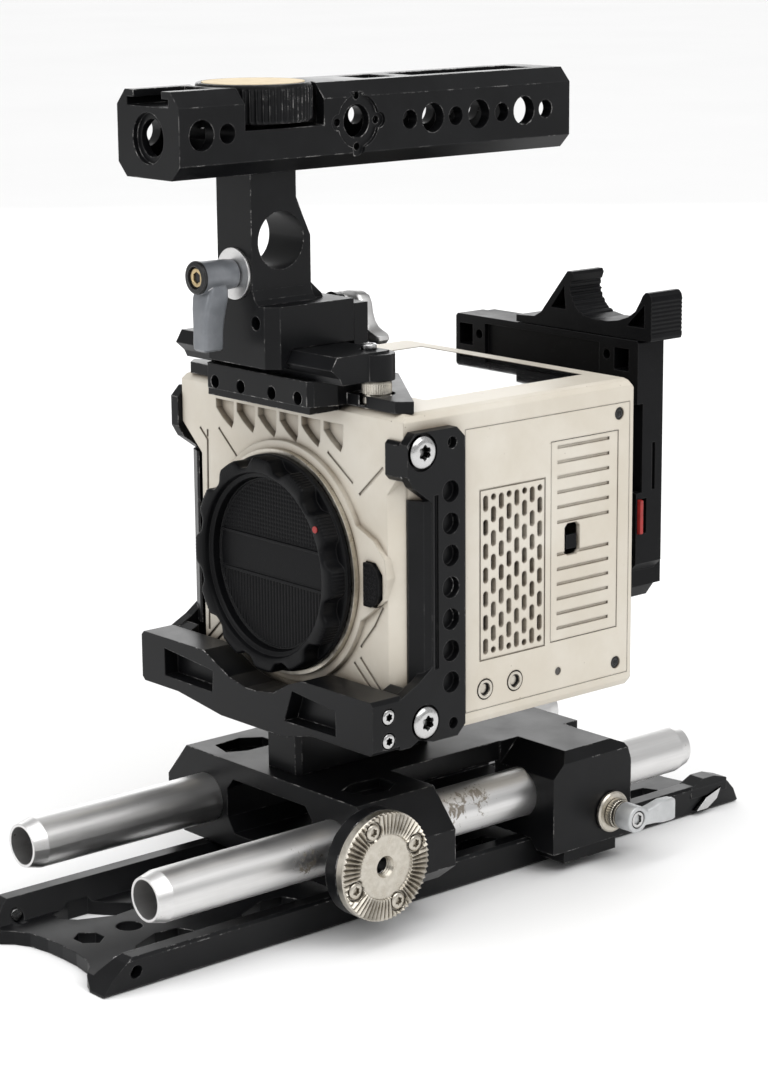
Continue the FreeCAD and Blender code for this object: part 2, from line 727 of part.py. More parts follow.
for level, turn in (("top", -1), ("low", 1)):
    corner = [
        ("body_front - 4", f"body_{level} - ({turn}) * 1"),
        ("body_front + 2", f"body_{level} - ({turn}) * 1"),
        ("body_front + 2", f"body_{level}"),
        ("body_front", f"body_{level} + ({turn}) * 2"),
        ("body_front - 4", f"body_{level} + ({turn}) * 2"),
    ]
    pocket(shell, f"edge_front_{level}", "YZ_Plane", [corner], "-60", "60")
    back = [
        ("body_rear + 1", f"body_{level} - ({turn}) * 1"),
        ("body_rear - 5", f"body_{level} - ({turn}) * 1"),
        ("body_rear - 5", f"body_{level}"),
        ("body_rear", f"body_{level} + ({turn}) * 7"),
        ("body_rear + 1", f"body_{level} + ({turn}) * 7"),
    ]
    pocket(shell, f"edge_rear_{level}", "YZ_Plane", [back], "-60", "60")
cavity = rectangle("-body_half + wall", "body_half - wall", "body_front + wall + 1", "body_rear + 1")
pocket(shell, "cavity", "XY_Plane", [cavity], "body_low + 9", "body_top - 9")
upper = rectangle("-body_half + 9", "body_half - 9", "body_front + wall + 1", "body_rear - 9")
pocket(shell, "upper_cavity", "XY_Plane", [upper], "body_top - 10", "body_top - 3.4")
screen_seat = rectangle("-36", "36", "-16", "46.5")
pocket(shell, "screen_seat", "XY_Plane", [screen_seat], "body_top - 1.3", "body_top + 1")
for name, sign in (("right", 1), ("left", -1)):
    low = "body_half - panel_depth" if sign > 0 else "-(body_half + 1)"
    high = "body_half + 1" if sign > 0 else "-(body_half - panel_depth)"
    recess = rectangle("panel_front", "panel_rear", "panel_low", "panel_top")
    pocket(shell, f"panel_recess_{name}", "YZ_Plane", [recess], low, high)
    deep_low = "body_half - wall - 1" if sign > 0 else "-(body_half + 1)"
    deep_high = "body_half + 1" if sign > 0 else "-(body_half - wall - 1)"
    breathing = rectangle("-8.5", "17.5", "75.5", "128")
    pocket(shell, f"air_opening_{name}", "YZ_Plane", [breathing], deep_low, deep_high)
door_bay = rectangle("22", "45", "79", "134")
pocket(shell, "door_bay", "YZ_Plane", [door_bay], "body_half - wall - 1", "body_half + 1")
NOTCHES = (-26.8, -16.8, -6.8, 3.2, 13.2, 23.2)
notch_outlines = []
for x in NOTCHES:
    curve = ((-7, 145), (-7, 142.4), (-5.6, 141), (-3.6, 139.4), (-1.6, 138.1), (0.4, 137),
        (1.3, 139), (1.5, 145))
    notch_outlines.append([(f"{x} + ({dx})", f"{z}") for dx, z in curve])
pocket(shell, "heat_notches", "XZ_Plane", notch_outlines, "body_front - 1", "body_front + 2.2")
boss = [("28", "86"), ("36.6", "92"), ("43.4", "97.4"), ("45", "104"), ("44.2", "109.5"),
    ("39.4", "114.2"), ("28", "119")]
pad(shell, "button_boss", "XZ_Plane", [boss], "body_front - 1.8", "body_front + 2.3")
GROOVES = [
    [(-32.8, 136.3), (-23.7, 128.4)],
    [(17.8, 136.3), (28.8, 128.9)],
    [(41.9, 135.2), (31.5, 125.9)],
    [(-41.9, 135.2), (-38.4, 132)],
    [(41.6, 95), (37.9, 88.9), (31.6, 81.5)],
    [(31.4, 78.5), (40.4, 70.2)],
    [(28.6, 76.5), (35.9, 70.2)],
    [(-31.4, 78.5), (-40.4, 70.2)],
    [(-28.6, 76.5), (-35.9, 70.2)],
    [(-38.2, 135), (-39.4, 73)],
]


def strip(start, end, width):
    """A thin straight band between two points of the front face, as an outline."""
    along = Vector(end[0] - start[0], end[1] - start[1], 0).normalize()
    side = Vector(-along.y, along.x, 0) * (width / 2)
    first, last = Vector(start[0], start[1], 0), Vector(end[0], end[1], 0)
    corners = (first + side, last + side, last - side, first - side)
    return [(f"{corner.x:.3f}", f"{corner.y:.3f}") for corner in corners]


for order, line in enumerate(GROOVES):
    for leg, (start, end) in enumerate(zip(line, line[1:])):
        pocket(shell, f"front_groove_{order}_{leg}", "XZ_Plane", [strip(start, end, 0.8)],
            "body_front - 1", "body_front + 0.5")
pocket(shell, "throat", "XZ_Plane", [("0", "lens_z", "26")], "body_front - 3", "body_front + 6")
button_slot = [("36.3", "95"), ("40.5", "95"), ("43.3", "98"), ("43.3", "105"), ("40.5", "108"),
    ("36.3", "108")]
pocket(shell, "button_slot", "XZ_Plane", [button_slot], "body_front - 3", "body_front + 2.6")


def slot_between(y, z_low, z_high, radius, x_low, depth):
    """A round-ended upright slot running along X."""
    middle = Part.makeBox(depth, 2 * radius, z_high - z_low, Vector(x_low, y - radius, z_low))
    low = Part.makeCylinder(radius, depth, Vector(x_low, y, z_low), Vector(1, 0, 0))
    high = Part.makeCylinder(radius, depth, Vector(x_low, y, z_high), Vector(1, 0, 0))
    return [middle, low, high]


VENT = {"columns": 8, "column_gap": 3.05, "first": -6.1, "slot": 4.7, "pitch": 7.0, "radius": 0.95}


def vent_openings(x_low, depth):
    """Eight columns of slots, every second one shifted half a pitch and ended with a round hole."""
    solids = []
    for column in range(VENT["columns"]):
        y = VENT["first"] + column * VENT["column_gap"]
        shifted = column % 2
        start = 78.4 + shifted * VENT["pitch"] / 2
        for order in range(7 - shifted):
            low = start + order * VENT["pitch"]
            reach = VENT["slot"] - 2 * VENT["radius"]
            solids += slot_between(y, low, low + reach, VENT["radius"], x_low, depth)
        if shifted:
            for z in (78.4, 78.4 + 6 * VENT["pitch"] + 3):
                solids.append(Part.makeCylinder(VENT["radius"], depth, Vector(x_low, y, z),
                    Vector(1, 0, 0)))
    return solids


def side_panel_shape(sign, with_door):
    """The thin inset cover of one side of the body, with its vents, door opening and jack holes."""
    inner = number("body_half - panel_depth")
    gap = 0.12
    panel = Part.makeBox(
        number("panel_depth"),
        number("panel_rear - panel_front") - 2 * gap,
        number("panel_top - panel_low") - 2 * gap,
        Vector(inner, number("panel_front") + gap, number("panel_low") + gap),
    )
    tools = vent_openings(inner - 1, 4)
    if with_door:
        tools.append(Part.makeBox(4, 27.6, 60, Vector(inner - 1, 19.7, 76.2)))
    for y, z, radius in ((-6.3, 67.2, 3.15), (5.5, 67.5, 3.15), (23, 67, 1.2)):
        if with_door:
            tools.append(Part.makeCylinder(radius, 4, Vector(inner - 1, y, z), Vector(1, 0, 0)))
    for y, z in ((47.6, 141), (47, 65.2)):
        tools.append(Part.makeCylinder(1.9, 4, Vector(inner + 0.9, y, z), Vector(1, 0, 0)))
    if with_door:
        outline = Part.makeBox(2, 26, 50.4, Vector(inner + number("panel_depth") - 0.35, -8.5, 75.7))
        tools.append(outline.cut(Part.makeBox(4, 25.1, 49.5, Vector(inner, -8.05, 76.15))))
    panel = panel.cut(Part.makeCompound(tools))
    return panel if sign > 0 else panel.mirror(Vector(0, 0, 0), Vector(1, 0, 0))


shaped("side_panel_right", side_panel_shape(1, True))
shaped("side_panel_left", side_panel_shape(-1, False))

door = body_named("media_door")
door_outline = rectangle("19.9", "47.1", "76.4", "136")
pad(door, "door_plate", "YZ_Plane", [door_outline], "body_half - 1.6", "body_half - 0.1")
RIBS = [79.6 + 4.45 * order for order in range(6)] + [111.5 + 4.45 * order for order in range(6)]
rib_outlines = [rectangle("22.4", "43.6", f"{z:.2f}", f"{z:.2f} + 0.9") for z in RIBS]
pocket(door, "door_ribs", "YZ_Plane", rib_outlines, "body_half - 0.6", "body_half + 1")
pocket(door, "latch_slot", "YZ_Plane",
    [[("26.6", "101.4"), ("30.4", "101.4"), ("31.6", "102.6"), ("31.6", "109.9"), ("30.4", "111.1"),
    ("26.6", "111.1"), ("25.4", "109.9"), ("25.4", "102.6")]], "body_half - 3", "body_half + 1")
latch = body_named("media_latch")
pad(latch, "latch_slider", "YZ_Plane", [rectangle("26.4", "30.6", "103.2", "107.4")],
    "body_half - 1.75", "body_half - 0.5")

jacks = []
for order, (y, z) in enumerate((("-6.3", "67.2"), ("5.5", "67.5"))):
    barrel = cylinder(f"jack_barrel_{order}", "x", "body_half - 1.8", y, z, "2.9", "1.9")
    socket = cylinder(f"jack_socket_{order}", "x", "body_half - 1.3", y, z, "1.6", "2")
    jacks.append(cut(f"jack_{order}", barrel, [socket]))
led = cylinder("status_led", "x", "body_half - 1.7", "23", "67", "1.1", "1.5")
keep(led, "status_led")

rear_panel = body_named("rear_panel")
rear_outline = rectangle("-body_half + wall + 0.1", "body_half - wall - 0.1", "body_low + 9.1",
    "body_top - 9.1")
pad(rear_panel, "rear_sheet", "XZ_Plane", [rear_outline], "body_rear - 2.4", "body_rear")

screen = body_named("top_screen")
glass = rectangle("-35.9", "35.9", "-15.9", "46.4")
pad(screen, "screen_glass", "XY_Plane", [glass], "body_top - 1.25", "body_top - 0.1")

mount = body_named("mount_ring")
pad(mount, "ring", "XZ_Plane", [("0", "lens_z", "33.3")], "body_front - 3.6", "body_front - 1.85")
pad(mount, "neck", "XZ_Plane", [("0", "lens_z", "25.9")], "body_front - 2", "body_front + 3")
pocket(mount, "mouth", "XZ_Plane", [("0", "lens_z", "23.5")], "body_front - 4", "body_front + 4")

lens_button = body_named("lens_release_button")
button_outline = [("36.5", "95.2"), ("39.6", "95.2"), ("41.9", "96.6"), ("43.1", "99.4"),
    ("43.1", "103.6"), ("41.9", "106.4"), ("39.6", "107.8"), ("36.5", "107.8")]
pad(lens_button, "button_pad", "XZ_Plane", [button_outline], "body_front - 3.4", "body_front + 0.6")

LOBES = 12


def cap_shape():
    """A scalloped body cap: twelve grip hollows round a deep dished face, with a plug behind."""
    front, back = number("body_front - 11"), number("body_front - 3.65")
    centre = Vector(0, 0, number("lens_z"))
    along = Vector(0, 1, 0)

    def disc(radius, start, end):
        return Part.makeCylinder(radius, end - start, centre + along * start, along)

    body = disc(32, back - 2.2, back).fuse(disc(31.4, front, back - 2.1))
    hollows = []
    for lobe in range(LOBES):
        angle = 360 * (lobe + 0.5) / LOBES
        spot = Rotation(along, angle).multVec(Vector(37.4, 0, 0))
        hollows.append(Part.makeCylinder(7.6, 5.6, centre + spot + along * (front - 0.5), along))
    body = body.cut(Part.makeCompound(hollows))
    body = body.cut(disc(27, front - 1, front + 1.6)).cut(disc(26, front, front + 5))
    plug = disc(23.2, back - 0.1, back + 4).cut(disc(20.5, back + 0.8, back + 5))
    bars = []
    for z_offset in (-4.9, 6.1):
        bars.append(Part.makeBox(46, 0.7, 1.2, Vector(-23, front + 4.4, number("lens_z") + z_offset)))
    return body.fuse(plug).fuse(bars).removeSplitter()


shaped("body_cap", cap_shape())
dot = cylinder("index_dot", "y", "25.2", "body_front - 11.3", "lens_z + 15", "1", "0.29")
keep(dot, "index_dot")

body_screws = []
for order, (y, z) in enumerate((("47.6", "141"), ("47", "65.2"))):
    for sign in (1, -1):
        start = "body_half - 0.95" if sign > 0 else "-(body_half - 0.25)"
        head = cylinder(f"body_head_{order}_{sign + 1}", "x", start, y, z, "1.8", "0.7")
        drive_start = "body_half - 0.7" if sign > 0 else "-(body_half - 0.2)"
        drive = cylinder(f"body_drive_{order}_{sign + 1}", "x", drive_start, y, z, "0.9", "0.5")
        body_screws.append(cut(f"body_screw_{order}_{sign + 1}", head, [drive]))

# What the camera has inside: sensor, boards, heat sink and fan.
sensor = body_named("image_sensor")
pad(sensor, "sensor_die", "XZ_Plane", [rectangle("-15", "15", "lens_z - 9", "lens_z + 9")], "-14",
    "-12.2")
sensor_board = body_named("sensor_board")
pad(sensor_board, "sensor_pcb", "XZ_Plane", [rectangle("-34", "34", "lens_z - 32", "lens_z + 32")],
    "-12.1", "-10.5")
for x in ("-30", "30"):
    for z in ("lens_z - 28", "lens_z + 28"):
        name = f"post_{x}_{z[-2:]}".replace("-", "n").replace(" ", "")
        pad(sensor_board, name, "XZ_Plane", [(x, z, "2")], "body_front + wall + 1.5", "-12")
main_board = body_named("main_board")
pad(main_board, "main_pcb", "XZ_Plane", [rectangle("-40", "40", "72", "136")], "30", "31.6")
pad(main_board, "main_chip", "XZ_Plane", [rectangle("-12", "12", "92", "116")], "27", "30.1")
sink = body_named("heat_sink")
pad(sink, "sink_base", "XZ_Plane", [rectangle("-30", "30", "78", "130")], "22.5", "26.9")
fins = [rectangle(f"{-30 + 6 * order}", f"{-28.4 + 6 * order}", "78", "130") for order in range(10)]
pad(sink, "sink_fins", "XZ_Plane", fins, "8", "22.6")
fan_frame = body_named("fan_frame")
pad(fan_frame, "fan_box", "YZ_Plane",
    [rectangle("fan_y - 18", "fan_y + 18", "fan_z - 18", "fan_z + 18")], "36", "46.5")
pocket(fan_frame, "fan_mouth", "YZ_Plane", [("fan_y", "fan_z", "16.9")], "37.5", "47")
fan = body_named("fan_rotor")
pad(fan, "fan_hub", "YZ_Plane", [("fan_y", "fan_z", "6")], "38", "45.5")
blades = []
for blade in range(7):
    turned = Rotation(Vector(0, 0, 1), 360 * blade / 7)
    corners = [Vector(5.5, -0.6, 0), Vector(16.3, -0.6, 0), Vector(16.3, 0.6, 0), Vector(5.5, 0.6, 0)]
    places = [turned.multVec(corner) for corner in corners]
    blades.append([(f"fan_y + ({place.x:.3f})", f"fan_z + ({place.y:.3f})") for place in places])
for order, outline in enumerate(blades):
    pad(fan, f"blade_{order}", "YZ_Plane", [outline], "38.6", "45")

# ---------------------------------------------------------------- top plate and accessory rail

top_plate = body_named("top_plate")
block_outline = [
    ("-top_half", "top_front + 0.6"),
    ("-top_half + 0.6", "top_front"),
    ("top_half - 0.6", "top_front"),
    ("top_half + 0.8", "top_front + 1.6"),
    ("top_half + 3", "-40"),
    ("top_half + 3", "-24"),
    ("-top_half - 3", "-24"),
    ("-top_half - 3", "-40"),
]
pad(top_plate, "rail_seat", "XY_Plane", [block_outline], "body_top + 0.05", "top_high")
front_drop = rectangle("-top_half", "top_half", "top_front + 0.6", "body_front - 0.1")
pad(top_plate, "front_lip", "XY_Plane", [front_drop], "top_low", "body_top + 0.1")
wings = [
    ("-50", "-32.6"),
    ("-46.5", "-36.6"),
    ("46.5", "-36.6"),
    ("50", "-32.6"),
    ("12", "-5"),
    ("-12", "-5"),
]
pad(top_plate, "wings", "XY_Plane", [wings], "body_top + 0.05", "wing_top")
standoff_seats = [("bolt_x", "bolt_y", "5.3"), ("-bolt_x", "bolt_y", "5.3")]
pocket(top_plate, "standoff_seats", "XY_Plane", standoff_seats, "body_top + 0.65", "wing_top + 1")
face_holes = [(x, "153.2", "1.9") for x in ("-19.2", "-7.2", "6.9", "18.6")]
pocket(top_plate, "face_holes", "XZ_Plane", face_holes, "top_front - 1", "top_front + 7")
pocket(top_plate, "screw_wells", "XY_Plane", [("-20", "-30", "2.6"), ("20", "-30", "2.6")],
    "top_high - 3", "top_high + 1")

nato = body_named("nato_rail")
nato_section = [
    ("nato_y - 8", "nato_low"),
    ("nato_y + 8", "nato_low"),
    ("nato_y + 9", "nato_low + 2"),
    ("nato_y + 12", "nato_ridge"),
    ("nato_y + 9.8", "nato_top"),
    ("nato_y - 9.8", "nato_top"),
    ("nato_y - 12", "nato_ridge"),
    ("nato_y - 9", "nato_low + 2"),
]
pad(nato, "nato_bar", "YZ_Plane", [nato_section], "-rail_half", "rail_half")
for side, sign in (("right", 1), ("left", -1)):
    corner = [
        (f"({sign}) * (rail_half + 1)", "nato_y + 8"),
        (f"({sign}) * rail_half", "nato_y + 8"),
        (f"({sign}) * (rail_half - 1.4)", "nato_y + 11"),
        (f"({sign}) * (rail_half - 5)", "nato_y + 13"),
        (f"({sign}) * (rail_half + 1)", "nato_y + 13"),
    ]
    pocket(nato, f"nato_corner_{side}", "XY_Plane", [corner], "nato_low - 1", "nato_top + 1")
for side, sign in (("right", 1), ("left", -1)):
    pad(nato, f"end_boss_{side}", "XY_Plane", [(f"({sign}) * bolt_x", "bolt_y", "5.3")], "nato_low",
        "nato_top - 0.6")
bolt_places = [("-screw_x", "bolt_y", "2.3"), ("screw_x", "bolt_y", "2.3")]
pocket(nato, "nato_bolt_holes", "XY_Plane", bolt_places, "nato_low - 1", "nato_top + 1")
cross_slots = [rectangle(f"{x} - 2.2", f"{x} + 2.2", "nato_y - 13", "nato_y + 13") for x in ("-10",
    "0", "10")]
pocket(nato, "nato_cross_slots", "XY_Plane", cross_slots, "nato_top - 2.2", "nato_top + 1")

standoffs = []
rail_bolts = []
for sign in (1, -1):
    x = f"({sign}) * bolt_x"
    foot = cylinder(f"standoff_{sign + 1}", "z", x, "bolt_y", "body_top + 0.7", "4.85",
        "nato_low - body_top - 0.75")
    standoffs.append(foot)
    screw_x = f"({sign}) * screw_x"
    shank = cylinder(f"rail_bolt_{sign + 1}", "z", screw_x, "bolt_y", "nato_low + 1", "2.2",
        "nato_top - nato_low + 0.6")
    drive = cylinder(f"rail_drive_{sign + 1}", "z", screw_x, "bolt_y", "nato_top - 0.4", "1.2", "3")
    rail_bolts.append(cut(f"rail_screw_{sign + 1}", shank, [drive]))
gathered("rail_standoffs", standoffs)
gathered("rail_screws", rail_bolts)

# ---------------------------------------------------------------- top handle

riser_post = body_named("handle_riser")
foot_section = [
    ("clamp_front", "clamp_low"),
    ("nato_y - 11", "clamp_low"),
    ("nato_y - 12.15", "nato_ridge"),
    ("nato_y - 9.95", "nato_top + 0.1"),
    ("clamp_rear", "nato_top + 0.1"),
    ("clamp_rear", "clamp_top"),
    ("clamp_front", "clamp_top"),
]
pad(riser_post, "foot", "YZ_Plane", [foot_section], "-clamp_half", "clamp_half")
for side, sign in (("right", 1), ("left", -1)):
    corner = [
        (f"({sign}) * (clamp_half + 1)", "clamp_front - 1"),
        (f"({sign}) * (clamp_half + 1)", "clamp_front + 3.2"),
        (f"({sign}) * clamp_half", "clamp_front + 3.2"),
        (f"({sign}) * (clamp_half - 3.2)", "clamp_front"),
        (f"({sign}) * (clamp_half - 3.2)", "clamp_front - 1"),
    ]
    pocket(riser_post, f"foot_corner_{side}", "XY_Plane", [corner], "clamp_low - 1", "clamp_top + 1")
column = [
    ("clamp_front", "clamp_top - 1"),
    ("clamp_rear - 4", "clamp_top - 1"),
    ("clamp_rear - 5", "clamp_top + 1.2"),
    ("-34", "183.5"),
    ("-34", "197"),
    ("-36.6", "202.5"),
    ("-39", "208"),
    ("-39", "handle_low - 0.05"),
    ("clamp_front", "handle_low - 0.05"),
]
pad(riser_post, "column", "YZ_Plane", [column], "-post_half", "post_half")
for side, sign in (("right", 1), ("left", -1)):
    web = [
        (f"({sign}) * (post_half - 0.5)", "clamp_top - 0.5"),
        (f"({sign}) * (post_half + 3)", "clamp_top - 0.5"),
        (f"({sign}) * (post_half + 1)", "clamp_top + 1.4"),
        (f"({sign}) * post_half", "clamp_top + 4"),
        (f"({sign}) * (post_half - 0.5)", "clamp_top + 4"),
    ]
    pad(riser_post, f"column_web_{side}", "XZ_Plane", [web], "clamp_front", "-34")
pocket(riser_post, "column_eye", "YZ_Plane", [("-44.7", "196.3", "8.15")], "-post_half - 1",
    "post_half + 1")
pocket(riser_post, "stud_bore", "XY_Plane", [("0", "wheel_y", "4.9")], "handle_low - 9", "handle_low + 1")
pocket(riser_post, "tilt_bore", "XZ_Plane", [("0", "lock_z", "3.1")], "clamp_front - 1",
    "clamp_front + 2.6")
pocket(riser_post, "foot_holes", "XZ_Plane", [("9", "174", "2"), ("-7.4", "173.2", "2")],
    "clamp_front - 1", "clamp_front + 4")
pocket(riser_post, "jaw_bore", "XZ_Plane", [("0", "174", "2.1")], "clamp_rear - 12", "clamp_rear + 1")

clamp_jaw = body_named("handle_clamp_jaw")
jaw_section = [
    ("nato_y + 11", "clamp_low"),
    ("-20", "clamp_low"),
    ("-20", "177.4"),
    ("clamp_rear + 0.1", "177.4"),
    ("clamp_rear + 0.1", "nato_low + 6.9"),
    ("nato_y + 12.15", "nato_ridge"),
]
pad(clamp_jaw, "jaw_plate", "YZ_Plane", [jaw_section], "-clamp_half", "clamp_half")
pocket(clamp_jaw, "jaw_hole", "XZ_Plane", [("0", "174", "2.3")], "-26", "-19")

jaw_bolt = cylinder("jaw_bolt_shank", "y", "0", "clamp_rear - 10", "174", "2", "13.9")
jaw_collar = cylinder("jaw_bolt_collar", "y", "0", "-19.9", "174", "4.6", "2.2")
jaw_tip = cylinder("jaw_bolt_tip", "y", "0", "-18", "174", "2", "7")
keep(fused("clamp_bolt", [jaw_bolt, jaw_collar, jaw_tip]), "clamp_bolt")
rear_lever = body_named("handle_clamp_lever")
lever_arm = [
    ("-4.4", "174"),
    ("-2.6", "178.6"),
    ("3", "180"),
    ("9", "178.6"),
    ("13.4", "174"),
    ("15.8", "168"),
    ("16", "164.6"),
    ("13.4", "163.6"),
    ("9", "165.4"),
    ("4", "169.4"),
    ("-2", "169.6"),
]
pad(rear_lever, "lever_arm", "XZ_Plane", [lever_arm], "-16.6", "-11.6")
pad(rear_lever, "lever_boss", "XZ_Plane", [("0", "174", "4.5")], "-17.6", "-11.2")
pocket(rear_lever, "lever_eye", "XZ_Plane", [("0", "174", "2.1")], "-18", "-10")

# The grey lever that locks the riser: washer, barrel and hanging grip, turning about Y.
washer_disc = cylinder("washer_disc", "y", "0", "clamp_front - 0.85", "lock_z", "7.3", "0.8")
washer_eye = cylinder("washer_eye", "y", "0", "clamp_front - 1", "lock_z", "3.1", "1.2")
keep(cut("lever_washer", washer_disc, [washer_eye]), "lever_washer")
lock_lever = body_named("lock_lever")
pad(lock_lever, "barrel", "XZ_Plane", [("0", "lock_z", "4.6")], "clamp_front - 14.2",
    "clamp_front - 0.95")
grip_outline = [("-3", "166.4"), ("3", "166.4"), ("3.2", "174"), ("4", "184"), ("-4", "184"),
    ("-3.2", "174")]
pad(lock_lever, "lever_stud", "XZ_Plane", [("0", "lock_z", "3")], "clamp_front - 1", "clamp_front + 2.3")
pad(lock_lever, "grip_arm", "XZ_Plane", [grip_outline], "clamp_front - 13.4", "clamp_front - 5.6")
pocket(lock_lever, "lock_socket", "XZ_Plane", [("0", "lock_z", "3.1")], "clamp_front - 15",
    "clamp_front - 9")
bolt_head = cylinder("lock_bolt_head", "y", "0", "clamp_front - 13.4", "lock_z", "3", "4.3")
bolt_hex = cylinder("lock_bolt_hex", "y", "0", "clamp_front - 13.6", "lock_z", "1.5", "2.6")
keep(cut("lock_bolt", bolt_head, [bolt_hex]), "lock_bolt")

handle = body_named("handle_bar")
handle_section = [
    ("bar_half - 3.8", "handle_low"),
    ("bar_half", "handle_low + 3.9"),
    ("bar_half", "handle_top - 4.2"),
    ("bar_half - 3.8", "handle_top"),
]
pad(handle, "handle_solid", "XZ_Plane", [mirrored(handle_section)], "handle_front", "handle_rear")
wheel_bay = rectangle("-bar_half - 1", "bar_half + 1", "wheel_y - 14", "wheel_y + 14")
pocket(handle, "wheel_bay", "XY_Plane", [wheel_bay], "228", "handle_top + 1")
pocket(handle, "wheel_round", "XY_Plane", [("0", "wheel_y", "wheel_radius + 0.5")], "228",
    "handle_top + 1")
pocket(handle, "stud_hole", "XY_Plane", [("0", "wheel_y", "5.1")], "handle_low - 1", "229")
pocket(handle, "shoe_slot", "XZ_Plane", [rectangle("-9.4", "9.4", "235.2", "237.5")],
    "handle_front - 1", "handle_front + 17.6")
pocket(handle, "shoe_mouth", "XZ_Plane", [rectangle("-6.4", "6.4", "237", "handle_top + 1")],
    "handle_front - 1", "handle_front + 17.6")
pocket(handle, "end_seat", "XZ_Plane", [("0", "226.6", "7")], "handle_front - 1", "handle_front + 1.6")
pocket(handle, "end_bore", "XZ_Plane", [("0", "226.6", "5.2")], "handle_front - 1", "handle_front + 5")
pocket(handle, "front_hollow", "XZ_Plane", [rectangle("-10.2", "10.2", "219.2", "233.6")],
    "handle_front + 4", "-66.4")
pocket(handle, "rear_hollow", "XZ_Plane", [rectangle("-10.2", "10.2", "219.2", "236")], "-29.5",
    "handle_rear + 1")
for name, radius, places in (("large", "4.2", (-76.4, 7.1, 25.1, 43.2)),
    ("small", "2.7", (-67.6, -1.7, 16, 34.2, 52))):
    holes = [(f"{y}", "227.7", radius) for y in places]
    pocket(handle, f"{name}_holes", "YZ_Plane", holes, "-bar_half - 1", "bar_half + 1")
pocket(handle, "anchor_hole", "YZ_Plane", [("-20.9", "228.3", "4.7")], "-bar_half - 1", "bar_half + 1")
for side, sign in (("right", 1), ("left", -1)):
    low = "bar_half - 1.1" if sign > 0 else "-(bar_half + 1)"
    high = "bar_half + 1" if sign > 0 else "-(bar_half - 1.1)"
    pocket(handle, f"anchor_ring_{side}", "YZ_Plane", [("-20.9", "228.3", "7.6")], low, high)
    lugs = [("-20.9", "235.9", "2.2"), ("-20.9", "220.7", "2.2"), ("-28.5", "228.3", "2.2"),
        ("-13.3", "228.3", "2.2")]
    for order, lug in enumerate(lugs):
        pocket(handle, f"anchor_lug_{side}_{order}", "YZ_Plane", [lug], low, high)
    pin_low, pin_high = ("bar_half - 3", "bar_half + 1") if sign > 0 else ("-(bar_half + 1)",
        "-(bar_half - 3)")
    pins = [("-20.9", "235.4", "1.1"), ("-20.9", "221.2", "1.1"), ("-28", "228.3", "1.1"),
        ("-13.8", "228.3", "1.1")]
    pocket(handle, f"anchor_pins_{side}", "YZ_Plane", pins, pin_low, pin_high)
pocket(handle, "top_pockets", "XY_Plane",
    [rectangle("-6", "6", "-12", "0"), rectangle("-6", "6", "6", "54")], "handle_top - 1.8",
    "handle_top + 1")


def knurled_wheel_shape():
    """The locking wheel: upright knurls cut round its rim and a shallow dish on top."""
    centre = Vector(0, number("wheel_y"), 0)
    radius = number("wheel_radius")
    up = Vector(0, 0, 1)
    wheel = Part.makeCylinder(radius, 12, centre + Vector(0, 0, 228.3), up)
    knurls = []
    for order in range(48):
        spot = Rotation(up, 360 * order / 48).multVec(Vector(radius + 0.35, 0, 0))
        knurls.append(Part.makeCylinder(0.85, 11, centre + spot + Vector(0, 0, 228.8), up))
    wheel = wheel.cut(Part.makeCompound(knurls))
    wheel = wheel.cut(Part.makeCylinder(14.5, 1, centre + Vector(0, 0, 239.5), up))
    stud = Part.makeCylinder(4.7, 21.8, centre + Vector(0, 0, 207), up)
    return wheel.fuse(stud).removeSplitter()


shaped("handle_wheel", knurled_wheel_shape())
keep(cylinder("wheel_disc", "z", "0", "wheel_y", "239.55", "14.4", "0.65"), "wheel_disc")

# ---------------------------------------------------------------- battery plate

adapter = body_named("battery_adapter")
pad(adapter, "adapter_block", "XZ_Plane", [rectangle("-33", "33", "86", "140")], "body_rear + 0.1",
    "bat_front - 0.1")
battery = body_named("battery_plate")
face_outline = [
    ("-bat_half + 1", "bat_low"), ("bat_half - 6", "bat_low"), ("bat_half - 3", "bat_low + 4"),
    ("bat_half - 3", "bat_low + 9"), ("bat_half", "bat_low + 12"), ("bat_half", "bat_top - 0.8"),
    ("bat_half - 0.8", "bat_top"), ("-bat_half + 0.8", "bat_top"), ("-bat_half", "bat_top - 0.8"),
    ("-bat_half", "bat_low + 1"),
]
pad(battery, "plate_solid", "XZ_Plane", [face_outline], "bat_front", "bat_rear - 3")
back_outline = rectangle("-bat_half + 3", "bat_half - 3", "bat_low + 4", "bat_top")
pad(battery, "plate_back", "XZ_Plane", [back_outline], "bat_rear - 3.1", "bat_rear")
pocket(battery, "name_recess", "XZ_Plane", [rectangle("-27", "24", "141.5", "157.2")],
    "bat_front - 1", "bat_front + 1.6")
ears = [
    rectangle("-38.8", "-32.6", "149.6", "156.4"),
    rectangle("30.4", "36.6", "149.6", "156.4"),
    ("-29.6", "153.6", "1.5"),
    ("27.2", "153.9", "1.5"),
]
pocket(battery, "ear_holes", "XZ_Plane", ears, "bat_front - 1", "bat_front + 8")
pocket(battery, "side_recess", "YZ_Plane",
    [rectangle("bat_front - 1", "bat_front + 2.4", "112.6", "140")], "bat_half - 6", "bat_half + 1")
pocket(battery, "button_bay", "YZ_Plane",
    [rectangle("bat_front + 0.5", "bat_front + 4.5", "99.8", "110.7")], "bat_half - 5", "bat_half + 1")
pocket(battery, "side_slot", "YZ_Plane",
    [rectangle("bat_front + 6.6", "bat_front + 8", "113", "127.6")], "bat_half - 1.2", "bat_half + 1")
keyhole = [("-18", "133", "5"), ("18", "133", "5"), ("0", "96", "5")]
pocket(battery, "key_holes", "XZ_Plane", keyhole, "bat_rear - 5", "bat_rear + 1")
pocket(battery, "contact_bay", "XZ_Plane", [rectangle("-11", "11", "104", "120")], "bat_rear - 4",
    "bat_rear + 1")
